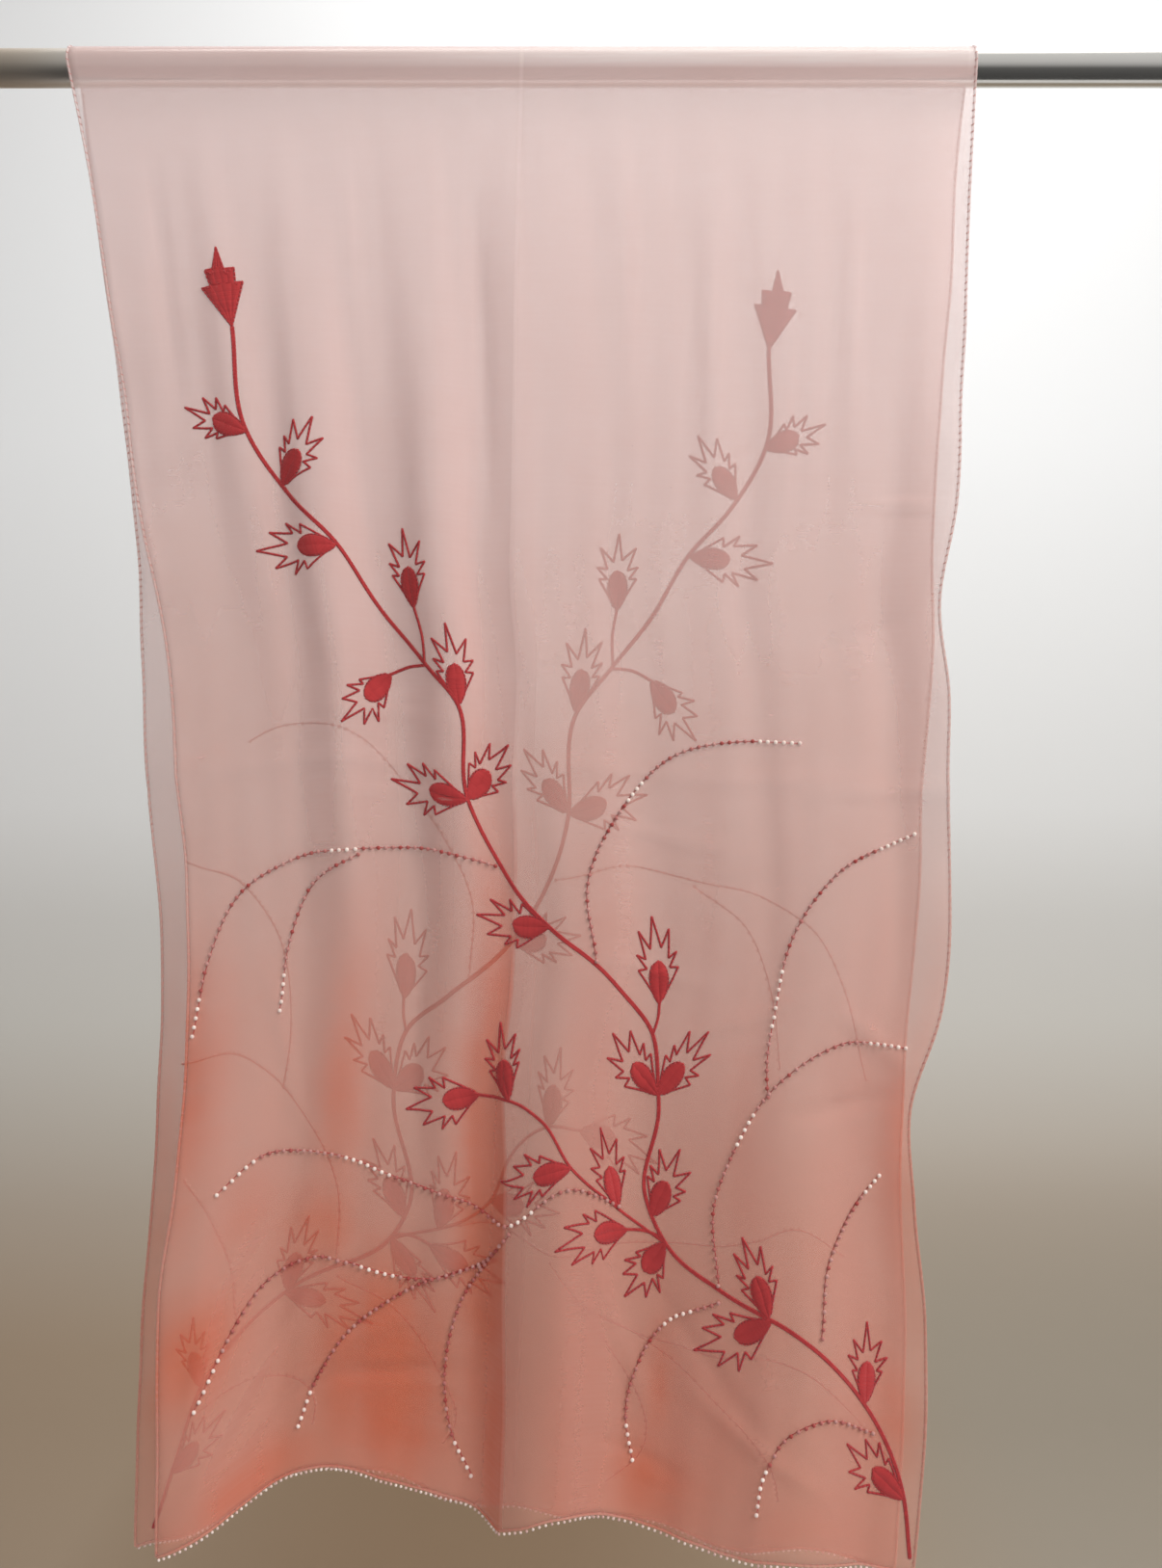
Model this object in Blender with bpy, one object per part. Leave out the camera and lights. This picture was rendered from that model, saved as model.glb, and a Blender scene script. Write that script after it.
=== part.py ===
"""A wide sheer scarf hung over a round steel rail, in metres, +Z up.

The origin is the middle of the rail's axis. The rail lies along X. One length of cloth goes up the
front (towards -Y), over the rail and down the back (towards +Y), so it is made as three walls that
meet 0.3 mm apart: front_fall, crown and back_fall. Narrow rolled hems run round its four edges.

A place on a fall is given by two lengths on the cloth: across, from the left edge as seen from the
front, and along, down the cloth from the level of the rail's axis.
"""
import math
from collections import namedtuple

import bmesh
import bpy
import numpy as np

# Rail
RAIL_DIAMETER = 0.025
RAIL_LENGTH = 0.92
RAIL_SIDES = 40
RAIL_CHAMFER = 0.001

# Cloth
CLOTH_WIDTH = 0.63
CLOTH_WALL = 0.001
CLOTH_TO_RAIL = 0.0004
SEAM_GAP = 0.0003
HANG_RADIUS = RAIL_DIAMETER / 2 + CLOTH_TO_RAIL + CLOTH_WALL / 2
CROWN_STEPS = 12
CROWN_COLUMNS = 12
LEFT_COLUMNS = 22
RIGHT_COLUMNS = 14
ROWS = 28

# Rolled hems, their inner side level with the wall's inner side
HEM_DIAMETER = 0.0024
HEM_SIDES = 6
HEM_REACH = SEAM_GAP + HEM_DIAMETER / 2
HEM_PROUD = (HEM_DIAMETER - CLOTH_WALL) / 2

# Pressed creases: one down the middle of the cloth, one across each fall
MIDDLE_CREASE = CLOTH_WIDTH / 2
MIDDLE_CREASE_DEPTH = 0.007
MIDDLE_CREASE_LEFT = 0.030
MIDDLE_CREASE_RIGHT = 0.110
CROSS_CREASE_ALONG = 0.507
CROSS_CREASE_DEPTH = 0.0022
CROSS_CREASE_HALF = 0.014

# How much of the lift at the hem a place further up the cloth takes
LIFT_POWER = 1.5
# A fold's side is never taken as steeper than this, where the cloth's width is shared out
STEEPEST = 0.95
FINE_STEPS = 316

# The outline of a fall: x of its left and right edges at a distance along the cloth
Edge = namedtuple("Edge", "along left right")
# The end of a fall: how far its hem is lifted at a distance across the cloth
Lift = namedtuple("Lift", "across lift")
# Where the middle crease lies across the evenly spread fall, at a distance along it
Crease = namedtuple("Crease", "along across")
# A soft fold: its ridge across the cloth at the rail and at the hem, its half width, how far it
# stands out, and the distances along the cloth where it starts, is full, and has died away
Fold = namedtuple("Fold", "top foot half depth start full end")
# A fall: side is -1 in front of the rail and +1 behind it
Fall = namedtuple("Fall", "side drop edges lifts crease folds")

FRONT = Fall(
    side=-1,
    drop=1.040,
    edges=(
        Edge(0.000, -0.314, 0.314),
        Edge(0.075, -0.299, 0.310),
        Edge(0.160, -0.286, 0.306),
        Edge(0.230, -0.275, 0.302),
        Edge(0.310, -0.265, 0.297),
        Edge(0.375, -0.252, 0.285),
        Edge(0.440, -0.242, 0.291),
        Edge(0.505, -0.238, 0.290),
        Edge(0.575, -0.231, 0.292),
        Edge(0.655, -0.227, 0.286),
        Edge(0.725, -0.228, 0.265),
        Edge(0.790, -0.231, 0.267),
        Edge(0.870, -0.240, 0.275),
        Edge(0.950, -0.238, 0.274),
        Edge(1.040, -0.239, 0.267),
    ),
    lifts=(
        Lift(0.00, 0.028),
        Lift(0.05, 0.045),
        Lift(0.08, 0.054),
        Lift(0.11, 0.064),
        Lift(0.14, 0.067),
        Lift(0.18, 0.058),
        Lift(0.24, 0.044),
        Lift(0.28, 0.035),
        Lift(0.30, 0.041),
        Lift(0.33, 0.049),
        Lift(0.36, 0.044),
        Lift(0.39, 0.034),
        Lift(0.43, 0.025),
        Lift(0.48, 0.018),
        Lift(0.53, 0.018),
        Lift(0.58, 0.009),
        Lift(0.63, 0.000),
    ),
    crease=(
        Crease(0.000, 0.315),
        Crease(0.090, 0.306),
        Crease(0.240, 0.297),
        Crease(0.400, 0.291),
        Crease(0.530, 0.279),
        Crease(0.650, 0.270),
        Crease(0.780, 0.277),
        Crease(0.920, 0.280),
        Crease(1.040, 0.284),
    ),
    folds=(
        Fold(0.000, 0.010, 0.100, 0.044, 0.50, 1.02, None),
        Fold(0.085, 0.090, 0.034, 0.006, 0.03, 0.25, 0.60),
        Fold(0.145, 0.125, 0.042, 0.013, 0.04, 0.35, 0.95),
        Fold(0.235, 0.225, 0.046, 0.015, 0.04, 0.40, 1.04),
        Fold(0.322, 0.322, 0.080, 0.032, 0.25, 1.02, None),
        Fold(0.420, 0.440, 0.060, 0.006, 0.10, 0.60, None),
        Fold(0.530, 0.525, 0.110, 0.034, 0.20, 1.02, None),
        Fold(0.630, 0.630, 0.050, 0.014, 0.08, 0.40, None),
    ),
)
BACK = Fall(
    side=1,
    drop=1.066,
    edges=(
        Edge(0.000, -0.314, 0.314),
        Edge(0.065, -0.307, 0.307),
        Edge(0.150, -0.296, 0.303),
        Edge(0.230, -0.285, 0.296),
        Edge(0.310, -0.276, 0.291),
        Edge(0.415, -0.270, 0.290),
        Edge(0.510, -0.267, 0.283),
        Edge(0.575, -0.260, 0.281),
        Edge(0.715, -0.262, 0.270),
        Edge(0.790, -0.268, 0.268),
        Edge(0.870, -0.276, 0.271),
        Edge(0.970, -0.283, 0.270),
        Edge(1.066, -0.285, 0.264),
    ),
    lifts=(
        Lift(0.00, 0.006),
        Lift(0.05, 0.024),
        Lift(0.08, 0.043),
        Lift(0.11, 0.063),
        Lift(0.15, 0.080),
        Lift(0.18, 0.077),
        Lift(0.22, 0.065),
        Lift(0.27, 0.050),
        Lift(0.31, 0.034),
        Lift(0.35, 0.032),
        Lift(0.39, 0.044),
        Lift(0.43, 0.036),
        Lift(0.48, 0.022),
        Lift(0.53, 0.006),
        Lift(0.58, 0.003),
        Lift(0.63, 0.004),
    ),
    crease=(
        Crease(0.000, 0.315),
        Crease(1.110, 0.315),
    ),
    folds=(
        Fold(0.000, 0.000, 0.090, 0.030, 0.45, 1.04, None),
        Fold(0.120, 0.130, 0.044, 0.009, 0.05, 0.30, 0.85),
        Fold(0.205, 0.215, 0.050, 0.014, 0.06, 0.50, None),
        Fold(0.315, 0.320, 0.078, 0.030, 0.22, 1.04, None),
        Fold(0.425, 0.440, 0.055, 0.012, 0.10, 0.70, None),
        Fold(0.560, 0.560, 0.090, 0.032, 0.20, 1.04, None),
    ),
)

# Finishes: name, colour, metallic, roughness
Finish = namedtuple("Finish", "name colour metallic roughness")
CHIFFON = Finish("chiffon", (0.62, 0.36, 0.32, 1.0), 0.0, 0.70)
HEM_THREAD = Finish("hem_thread", (0.50, 0.15, 0.14, 1.0), 0.0, 0.65)
STEEL = Finish("steel", (0.56, 0.55, 0.53, 1.0), 1.0, 0.24)


def clear_scene():
    """Removes every object of the scene that the script starts in."""
    for item in list(bpy.data.objects):
        bpy.data.objects.remove(item, do_unlink=True)


def material(finish):
    """Returns a Principled material with the finish's colour, metallic value and roughness."""
    made = bpy.data.materials.get(finish.name) or bpy.data.materials.new(finish.name)
    made.use_nodes = True
    shader = made.node_tree.nodes["Principled BSDF"]
    shader.inputs["Base Color"].default_value = finish.colour
    shader.inputs["Metallic"].default_value = finish.metallic
    shader.inputs["Roughness"].default_value = finish.roughness
    made.diffuse_color = finish.colour
    return made


def smooth_through(places, values, at):
    """Reads a smooth curve through a table's rows: a cubic between rows, with mean slopes at them."""
    places, values = np.asarray(places, float), np.asarray(values, float)
    slopes = np.gradient(values, places)
    at = np.clip(at, places[0], places[-1])
    row = np.clip(np.searchsorted(places, at) - 1, 0, len(places) - 2)
    step = places[row + 1] - places[row]
    t = (at - places[row]) / step
    return (
        (1 + 2 * t) * (1 - t) ** 2 * values[row]
        + t * (1 - t) ** 2 * step * slopes[row]
        + t * t * (3 - 2 * t) * values[row + 1]
        + t * t * (t - 1) * step * slopes[row + 1]
    )


def ramp(at, start, full):
    """Rises smoothly from 0 at start to 1 at full."""
    t = np.clip((at - start) / (full - start), 0, 1)
    return t * t * (3 - 2 * t)


def bell(offset, half):
    """A soft ridge: 1 at its middle and 0 from half to either side, as a squared cosine."""
    return np.where(np.abs(offset) < half, np.cos(math.pi / 2 * offset / half) ** 2, 0.0)


def tent(offset, left, right):
    """A pressed ridge: 1 at its line, falling straight to 0 over left and right beside it."""
    return np.clip(1 - np.where(offset < 0, -offset / left, offset / right), 0, 1)


def crease_line(fall, along):
    """Where the middle crease lies on the evenly spread fall, at distances along it."""
    return smooth_through([row.along for row in fall.crease], [row.across for row in fall.crease], along)


def evenly_spread(fall, across, along):
    """Where the cloth's own places would lie across the fall if its two halves were gathered alike.

    The left half is gathered more than the right one, so the middle crease shows left of the middle.
    """
    line = crease_line(fall, along)
    left = across * line / MIDDLE_CREASE
    right = CLOTH_WIDTH - (CLOTH_WIDTH - across) * (CLOTH_WIDTH - line) / (CLOTH_WIDTH - MIDDLE_CREASE)
    return np.where(across < MIDDLE_CREASE, left, right)


def stand_out(fall, across, along):
    """How far the cloth stands out from the plane in which it would hang straight down."""
    out = np.zeros(np.broadcast(across, along).shape)
    for fold in fall.folds:
        ridge = fold.top + (fold.foot - fold.top) * along / fall.drop
        grown = ramp(along, fold.start, fold.full)
        if fold.end is not None:
            grown = grown * (1 - ramp(along, fold.full, fold.end))
        out = out + fold.depth * grown * bell(across - ridge, fold.half)
    middle = tent(across - crease_line(fall, along), MIDDLE_CREASE_LEFT, MIDDLE_CREASE_RIGHT)
    out = out + MIDDLE_CREASE_DEPTH * ramp(along, 0.02, 0.20) * middle
    cross = tent(along - CROSS_CREASE_ALONG, CROSS_CREASE_HALF, CROSS_CREASE_HALF)
    return out + CROSS_CREASE_DEPTH * cross


def fall_points(fall, across, along):
    """Places of a grid on the fall's middle surface: rows along the cloth, columns across it.

    The cloth's width is shared out between its two edges as its folds take it up: a step across a
    fold's steep side moves less in x than a step on its flat. Down the fall a place is as far below
    the rail as it is along the cloth, less its share of the lift at the hem.
    """
    fine = np.linspace(0, CLOTH_WIDTH, FINE_STEPS)
    out_fine = stand_out(fall, fine[None, :], along[:, None])
    slope = np.clip(np.gradient(out_fine, fine, axis=1), -STEEPEST, STEEPEST)
    run = np.cumsum(np.sqrt(1 - slope**2), axis=1)
    run = (run - run[:, :1]) / (run[:, -1:] - run[:, :1])
    places = evenly_spread(fall, across[None, :], along[:, None])
    share = np.array([np.interp(row_places, fine, row) for row_places, row in zip(places, run)])
    downs = [edge.along for edge in fall.edges]
    left = smooth_through(downs, [edge.left for edge in fall.edges], along)[:, None]
    right = smooth_through(downs, [edge.right for edge in fall.edges], along)[:, None]
    lift = smooth_through([row.across for row in fall.lifts], [row.lift for row in fall.lifts], places)
    points = np.empty((len(along), len(across), 3))
    points[..., 0] = left + (right - left) * share
    points[..., 1] = fall.side * (HANG_RADIUS + stand_out(fall, places, along[:, None]))
    points[..., 2] = -along[:, None] + lift * (along[:, None] / fall.drop) ** LIFT_POWER
    return points


def crown_points(across):
    """Places on the crown's middle surface: a half turn over the rail, from the front to the back."""
    half_gap = SEAM_GAP / 2 / HANG_RADIUS
    turn = np.linspace(half_gap, math.pi - half_gap, CROWN_STEPS + 1)[:, None]
    left, right = FRONT.edges[0].left, FRONT.edges[0].right
    points = np.empty((len(turn), len(across), 3))
    points[..., 0] = left + (right - left) * across[None, :] / CLOTH_WIDTH
    points[..., 1] = -HANG_RADIUS * np.cos(turn)
    points[..., 2] = HANG_RADIUS * np.sin(turn)
    return points


def unit(vectors):
    """Scales vectors to length 1."""
    return vectors / np.linalg.norm(vectors, axis=-1, keepdims=True)


def outward(points, side):
    """Unit normals of a grid, from its central differences, turned to the given side of Y."""
    normals = unit(np.cross(np.gradient(points, axis=1), np.gradient(points, axis=0)))
    return normals if side is None else normals * side * np.sign(normals[..., 1:2])


def new_object(name, vertices, faces, finish):
    """Makes one closed mesh object, with its faces pointing out and shaded smooth."""
    mesh = bpy.data.meshes.new(name)
    mesh.from_pydata([tuple(v) for v in vertices], [], faces)
    work = bmesh.new()
    work.from_mesh(mesh)
    bmesh.ops.recalc_face_normals(work, faces=work.faces)
    work.to_mesh(mesh)
    work.free()
    mesh.shade_smooth()
    mesh.set_sharp_from_angle(angle=math.radians(40))
    mesh.materials.append(material(finish))
    made = bpy.data.objects.new(name, mesh)
    bpy.context.scene.collection.objects.link(made)
    return made


def wall(name, middle, normals, finish):
    """Makes a wall CLOTH_WALL thick about a grid's middle surface, closed round its rim."""
    rows, columns = middle.shape[:2]
    outer = (middle + normals * CLOTH_WALL / 2).reshape(-1, 3)
    inner = (middle - normals * CLOTH_WALL / 2).reshape(-1, 3)
    number = np.arange(rows * columns).reshape(rows, columns)
    quads = np.stack([number[:-1, :-1], number[:-1, 1:], number[1:, 1:], number[1:, :-1]], axis=-1)
    quads = quads.reshape(-1, 4)
    ring = np.concatenate([number[0, :-1], number[:-1, -1], number[-1, :0:-1], number[:0:-1, 0]])
    following = np.roll(ring, -1)
    count = rows * columns
    rim = np.stack([ring, following, following + count, ring + count], axis=-1)
    faces = np.concatenate([quads, quads[:, ::-1] + count, rim])
    return new_object(name, np.concatenate([outer, inner]), faces.tolist(), finish)


def rolled_hem(name, centres, first, second, finish):
    """Makes a hem: a round section in the plane of two directions, carried along its centres."""
    turn = np.linspace(0, 2 * math.pi, HEM_SIDES, endpoint=False)
    around = first[:, None, :] * np.cos(turn)[None, :, None]
    around = around + second[:, None, :] * np.sin(turn)[None, :, None]
    vertices = (centres[:, None, :] + around * HEM_DIAMETER / 2).reshape(-1, 3)
    number = np.arange(len(vertices)).reshape(len(centres), HEM_SIDES)
    beside = np.roll(number, -1, axis=1)
    sides = np.stack([number[:-1], beside[:-1], beside[1:], number[1:]], axis=-1).reshape(-1, 4)
    faces = sides.tolist() + [number[0, ::-1].tolist(), number[-1].tolist()]
    return new_object(name, vertices, faces, finish)


def rail():
    """Makes the plain round rail along X, its two ends closed and chamfered."""
    work = bmesh.new()
    bmesh.ops.create_cone(
        work, cap_ends=True, segments=RAIL_SIDES,
        radius1=RAIL_DIAMETER / 2, radius2=RAIL_DIAMETER / 2, depth=RAIL_LENGTH,
    )
    rims = [edge for edge in work.edges if abs(edge.verts[0].co.z - edge.verts[1].co.z) < RAIL_CHAMFER]
    bmesh.ops.bevel(work, geom=rims, offset=RAIL_CHAMFER, segments=1, affect="EDGES")
    mesh = bpy.data.meshes.new("rail")
    work.to_mesh(mesh)
    work.free()
    mesh.shade_smooth()
    mesh.set_sharp_from_angle(angle=math.radians(40))
    mesh.materials.append(material(STEEL))
    made = bpy.data.objects.new("rail", mesh)
    made.rotation_euler = (0, math.pi / 2, 0)
    bpy.context.scene.collection.objects.link(made)
    return made


def columns_across():
    """Distances across the cloth: closer together in the left half, where the narrow folds are."""
    left = np.linspace(0, MIDDLE_CREASE, LEFT_COLUMNS + 1)
    right = np.linspace(MIDDLE_CREASE, CLOTH_WIDTH, RIGHT_COLUMNS + 1)
    return np.concatenate([left, right[1:]])


def rows_along(fall):
    """Distances along a fall, from just under the crown to the hem, with rows on the cross crease."""
    even = np.linspace(SEAM_GAP / 2, fall.drop, ROWS)
    crease = CROSS_CREASE_ALONG + CROSS_CREASE_HALF * np.array([-1, 0, 1])
    clear = np.min(np.abs(even[:, None] - crease[None, :]), axis=1) > CROSS_CREASE_HALF / 2
    return np.sort(np.concatenate([even[clear], crease]))


def build():
    """Builds the rail, the three stretches of cloth and the four hems."""
    clear_scene()
    rail()
    across = columns_across()
    grids = {}
    for name, fall in (("front", FRONT), ("back", BACK)):
        points = fall_points(fall, across, rows_along(fall))
        normals = outward(points, fall.side)
        grids[name] = (points, normals)
        wall(f"{name}_fall", points, normals, CHIFFON)
        down = unit(points[-1] - points[-2])
        centres = points[-1] + down * HEM_REACH + normals[-1] * HEM_PROUD
        rolled_hem(f"{name}_end_hem", centres, down, normals[-1], HEM_THREAD)
    level = crown_points(np.linspace(0, CLOTH_WIDTH, CROWN_COLUMNS + 1))
    radial = unit(level * np.array([0, 1, 1]))
    wall("crown", level, radial, CHIFFON)
    for name, edge, beside in (("left", 0, 1), ("right", -1, -2)):
        centres, sideways, facing = [], [], []
        for points, normals in (
            (grids["front"][0][::-1], grids["front"][1][::-1]),
            (level, radial),
            (grids["back"][0], grids["back"][1]),
        ):
            away = unit(points[:, edge] - points[:, beside])
            centres.append(points[:, edge] + away * HEM_REACH + normals[:, edge] * HEM_PROUD)
            sideways.append(away)
            facing.append(normals[:, edge])
        rolled_hem(
            f"side_hem_{name}",
            np.concatenate(centres), np.concatenate(sideways), np.concatenate(facing), HEM_THREAD,
        )


build()
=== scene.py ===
"""Looks of a sheer embroidered scarf hung over a steel rail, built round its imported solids.

Lengths are metres, +Z up. The rail's axis runs along X through the origin, and the front fall hangs
towards -Y. A place on the cloth is given by across, from its left edge as seen from the front, and
along, down a fall from the level of the rail's axis. run is the distance along the whole cloth from
the front hem, up the front, over the rail and down the back.
"""
import logging
import math
from dataclasses import dataclass, field
from enum import Enum
from typing import NamedTuple, Sequence

import bpy
import numpy as np
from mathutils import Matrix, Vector


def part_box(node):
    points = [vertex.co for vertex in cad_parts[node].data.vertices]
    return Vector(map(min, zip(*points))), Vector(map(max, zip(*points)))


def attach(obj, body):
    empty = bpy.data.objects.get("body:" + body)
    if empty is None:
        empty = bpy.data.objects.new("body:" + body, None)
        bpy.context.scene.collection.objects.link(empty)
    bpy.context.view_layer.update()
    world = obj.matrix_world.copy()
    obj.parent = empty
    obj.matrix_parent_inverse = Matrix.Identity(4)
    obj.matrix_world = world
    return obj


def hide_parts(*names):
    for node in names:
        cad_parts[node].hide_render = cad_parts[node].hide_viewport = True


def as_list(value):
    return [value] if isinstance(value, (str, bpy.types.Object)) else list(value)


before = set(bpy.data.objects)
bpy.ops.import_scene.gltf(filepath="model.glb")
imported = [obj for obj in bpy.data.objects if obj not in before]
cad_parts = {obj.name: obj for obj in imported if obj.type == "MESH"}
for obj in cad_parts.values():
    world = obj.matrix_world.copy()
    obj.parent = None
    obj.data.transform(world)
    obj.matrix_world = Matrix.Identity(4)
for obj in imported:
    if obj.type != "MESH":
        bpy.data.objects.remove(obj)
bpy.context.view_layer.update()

LOG = logging.getLogger("scarf")
Array = np.ndarray
Colour = tuple[float, float, float, float]

BODY = "root"
CLOTH_WIDTH = 0.63
SHELL = 0.0006
RAIL_LOW, RAIL_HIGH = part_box("rail")
RAIL_RADIUS = (RAIL_HIGH.z - RAIL_LOW.z) / 2
HANG_RADIUS = RAIL_RADIUS + 0.0009

# The creases pressed into the cloth, down its middle and across it
MIDDLE_CREASE = CLOTH_WIDTH / 2
MIDDLE_CREASE_DEPTH = 0.007
MIDDLE_CREASE_LEFT = 0.030
MIDDLE_CREASE_RIGHT = 0.110
CROSS_CREASE_ALONG = 0.507
CROSS_CREASE_DEPTH = 0.0013
CROSS_CREASE_HALF = 0.009

# How a hem's lift grows down a fall, and how the folds take up the width
LIFT_POWER = 1.5
STEEPEST = 0.95
SLOPE_COLUMNS = 316

# The cloth's own faint waves, and the flutter of its side edges
FAINT_WAVES = 10
FAINT_WAVE_LONG = (0.026, 0.070)
FAINT_WAVE_TURN = 0.05
FAINT_WAVE_DEPTH = 0.00014
FLUTTER_LONG = (0.155, 0.083)
FLUTTER_DEPTH = 0.0012
FLUTTER_REACH = 0.018

# The grid's extra columns at the middle crease, and how far off the even ones stay
CREASE_COLUMNS = (-0.0052, -0.0024, 0.0, 0.0024, 0.0052)
CREASE_CLEAR = 0.0070

# How much the cloth over the rail counts as leaning, for the painted shade and the density that leaning
# gives, and how far inside an edge its way is read
CROWN_TILT = 0.2
EDGE_REACH = 0.004

# The number of random heights, across and along, that a cloud repeats after
LATTICE = (97, 101)


class Edge(NamedTuple):
    """A row of a fall's outline: x of its left and right edges at a distance along the cloth."""

    along: float
    left: float
    right: float


class Lift(NamedTuple):
    """A row of a fall's end: how far its hem is lifted at a distance across the cloth."""

    across: float
    lift: float


class Fold(NamedTuple):
    """A soft fold: its ridge across the cloth at the rail and at the hem, half width and depth,
    and the distances along the cloth where it starts, is full, and has died away, if it does."""

    top: float
    foot: float
    half: float
    depth: float
    start: float
    full: float
    end: float | None


class Crease(NamedTuple):
    """Where the middle crease lies across the evenly spread fall, at a distance along it."""

    along: float
    across: float


class Wrinkle(NamedTuple):
    """A crease from one place on the fall to another, its half width, and its depth, below 0 inwards."""

    across_a: float
    along_a: float
    across_b: float
    along_b: float
    half: float
    depth: float


def smooth_through(places: Sequence[float], values: Sequence[float], at: Array) -> Array:
    """Reads a smooth curve through a table's rows: a cubic between rows, with mean slopes at them.

    Args:
        places: where the rows lie, rising.
        values: the rows' values.
        at: where to read the curve.

    Returns:
        The curve's values at those places.
    """
    knots, heights = np.asarray(places, float), np.asarray(values, float)
    slopes = np.gradient(heights, knots)
    at = np.clip(at, knots[0], knots[-1])
    row = np.clip(np.searchsorted(knots, at) - 1, 0, len(knots) - 2)
    step = knots[row + 1] - knots[row]
    t = (at - knots[row]) / step
    return (
        (1 + 2 * t) * (1 - t) ** 2 * heights[row]
        + t * (1 - t) ** 2 * step * slopes[row]
        + t * t * (3 - 2 * t) * heights[row + 1]
        + t * t * (t - 1) * step * slopes[row + 1]
    )


def ramp(at: Array, start: float, full: float) -> Array:
    """Rises smoothly from 0 at start to 1 at full."""
    t = np.clip((at - start) / (full - start), 0, 1)
    return t * t * (3 - 2 * t)


def bell(offset: Array, half: float) -> Array:
    """A soft ridge: 1 at its middle and 0 from half to either side, as a squared cosine."""
    return np.where(np.abs(offset) < half, np.cos(math.pi / 2 * offset / half) ** 2, 0.0)


def tent(offset: Array, left: float, right: float) -> Array:
    """A pressed ridge: 1 at its line, falling straight to 0 over left and right beside it."""
    return np.clip(1 - np.where(offset < 0, -offset / left, offset / right), 0, 1)


def cloud(across: Array, along: Array, size: tuple[float, float], seed: int, octaves: int = 3) -> Array:
    """Reads a soft random cloud.

    Args:
        across: distances across the cloth.
        along: distances along it.
        size: the size of the largest puffs, across and along.
        seed: the number that settles the cloud.
        octaves: how many layers are added, each half as large and half as strong as the last.

    Returns:
        Values from about 0 to 1, with their mean near a half: random heights on a lattice, smoothed
        between its points, in layers.
    """
    rng = np.random.default_rng(seed)
    total, weight = np.zeros(np.broadcast(across, along).shape), 0.0
    for layer in range(octaves):
        share = 0.5**layer
        u, v = np.broadcast_arrays(across / (size[0] * share), along / (size[1] * share))
        i, j = np.floor(u).astype(int), np.floor(v).astype(int)
        s, t = ramp(u - i, 0, 1), ramp(v - j, 0, 1)
        lattice = rng.random(LATTICE)
        i, next_i = i % LATTICE[0], (i + 1) % LATTICE[0]
        j, next_j = j % LATTICE[1], (j + 1) % LATTICE[1]
        low = lattice[i, j] * (1 - s) + lattice[next_i, j] * s
        high = lattice[i, next_j] * (1 - s) + lattice[next_i, next_j] * s
        total = total + share * (low * (1 - t) + high * t)
        weight += share
    return total / weight


def clouds(across: Array, along: Array, layers: Sequence["Puffs"], base: float = 0.0) -> Array:
    """Adds up layers of soft cloud, each by its weight, over a base."""
    total = base
    for layer in layers:
        total = total + cloud(across, along, layer.size, layer.seed) * layer.weight
    return total


def unit(vectors: Array) -> Array:
    """Scales vectors to length 1."""
    return vectors / np.maximum(np.linalg.norm(vectors, axis=-1, keepdims=True), 1e-12)


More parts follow.
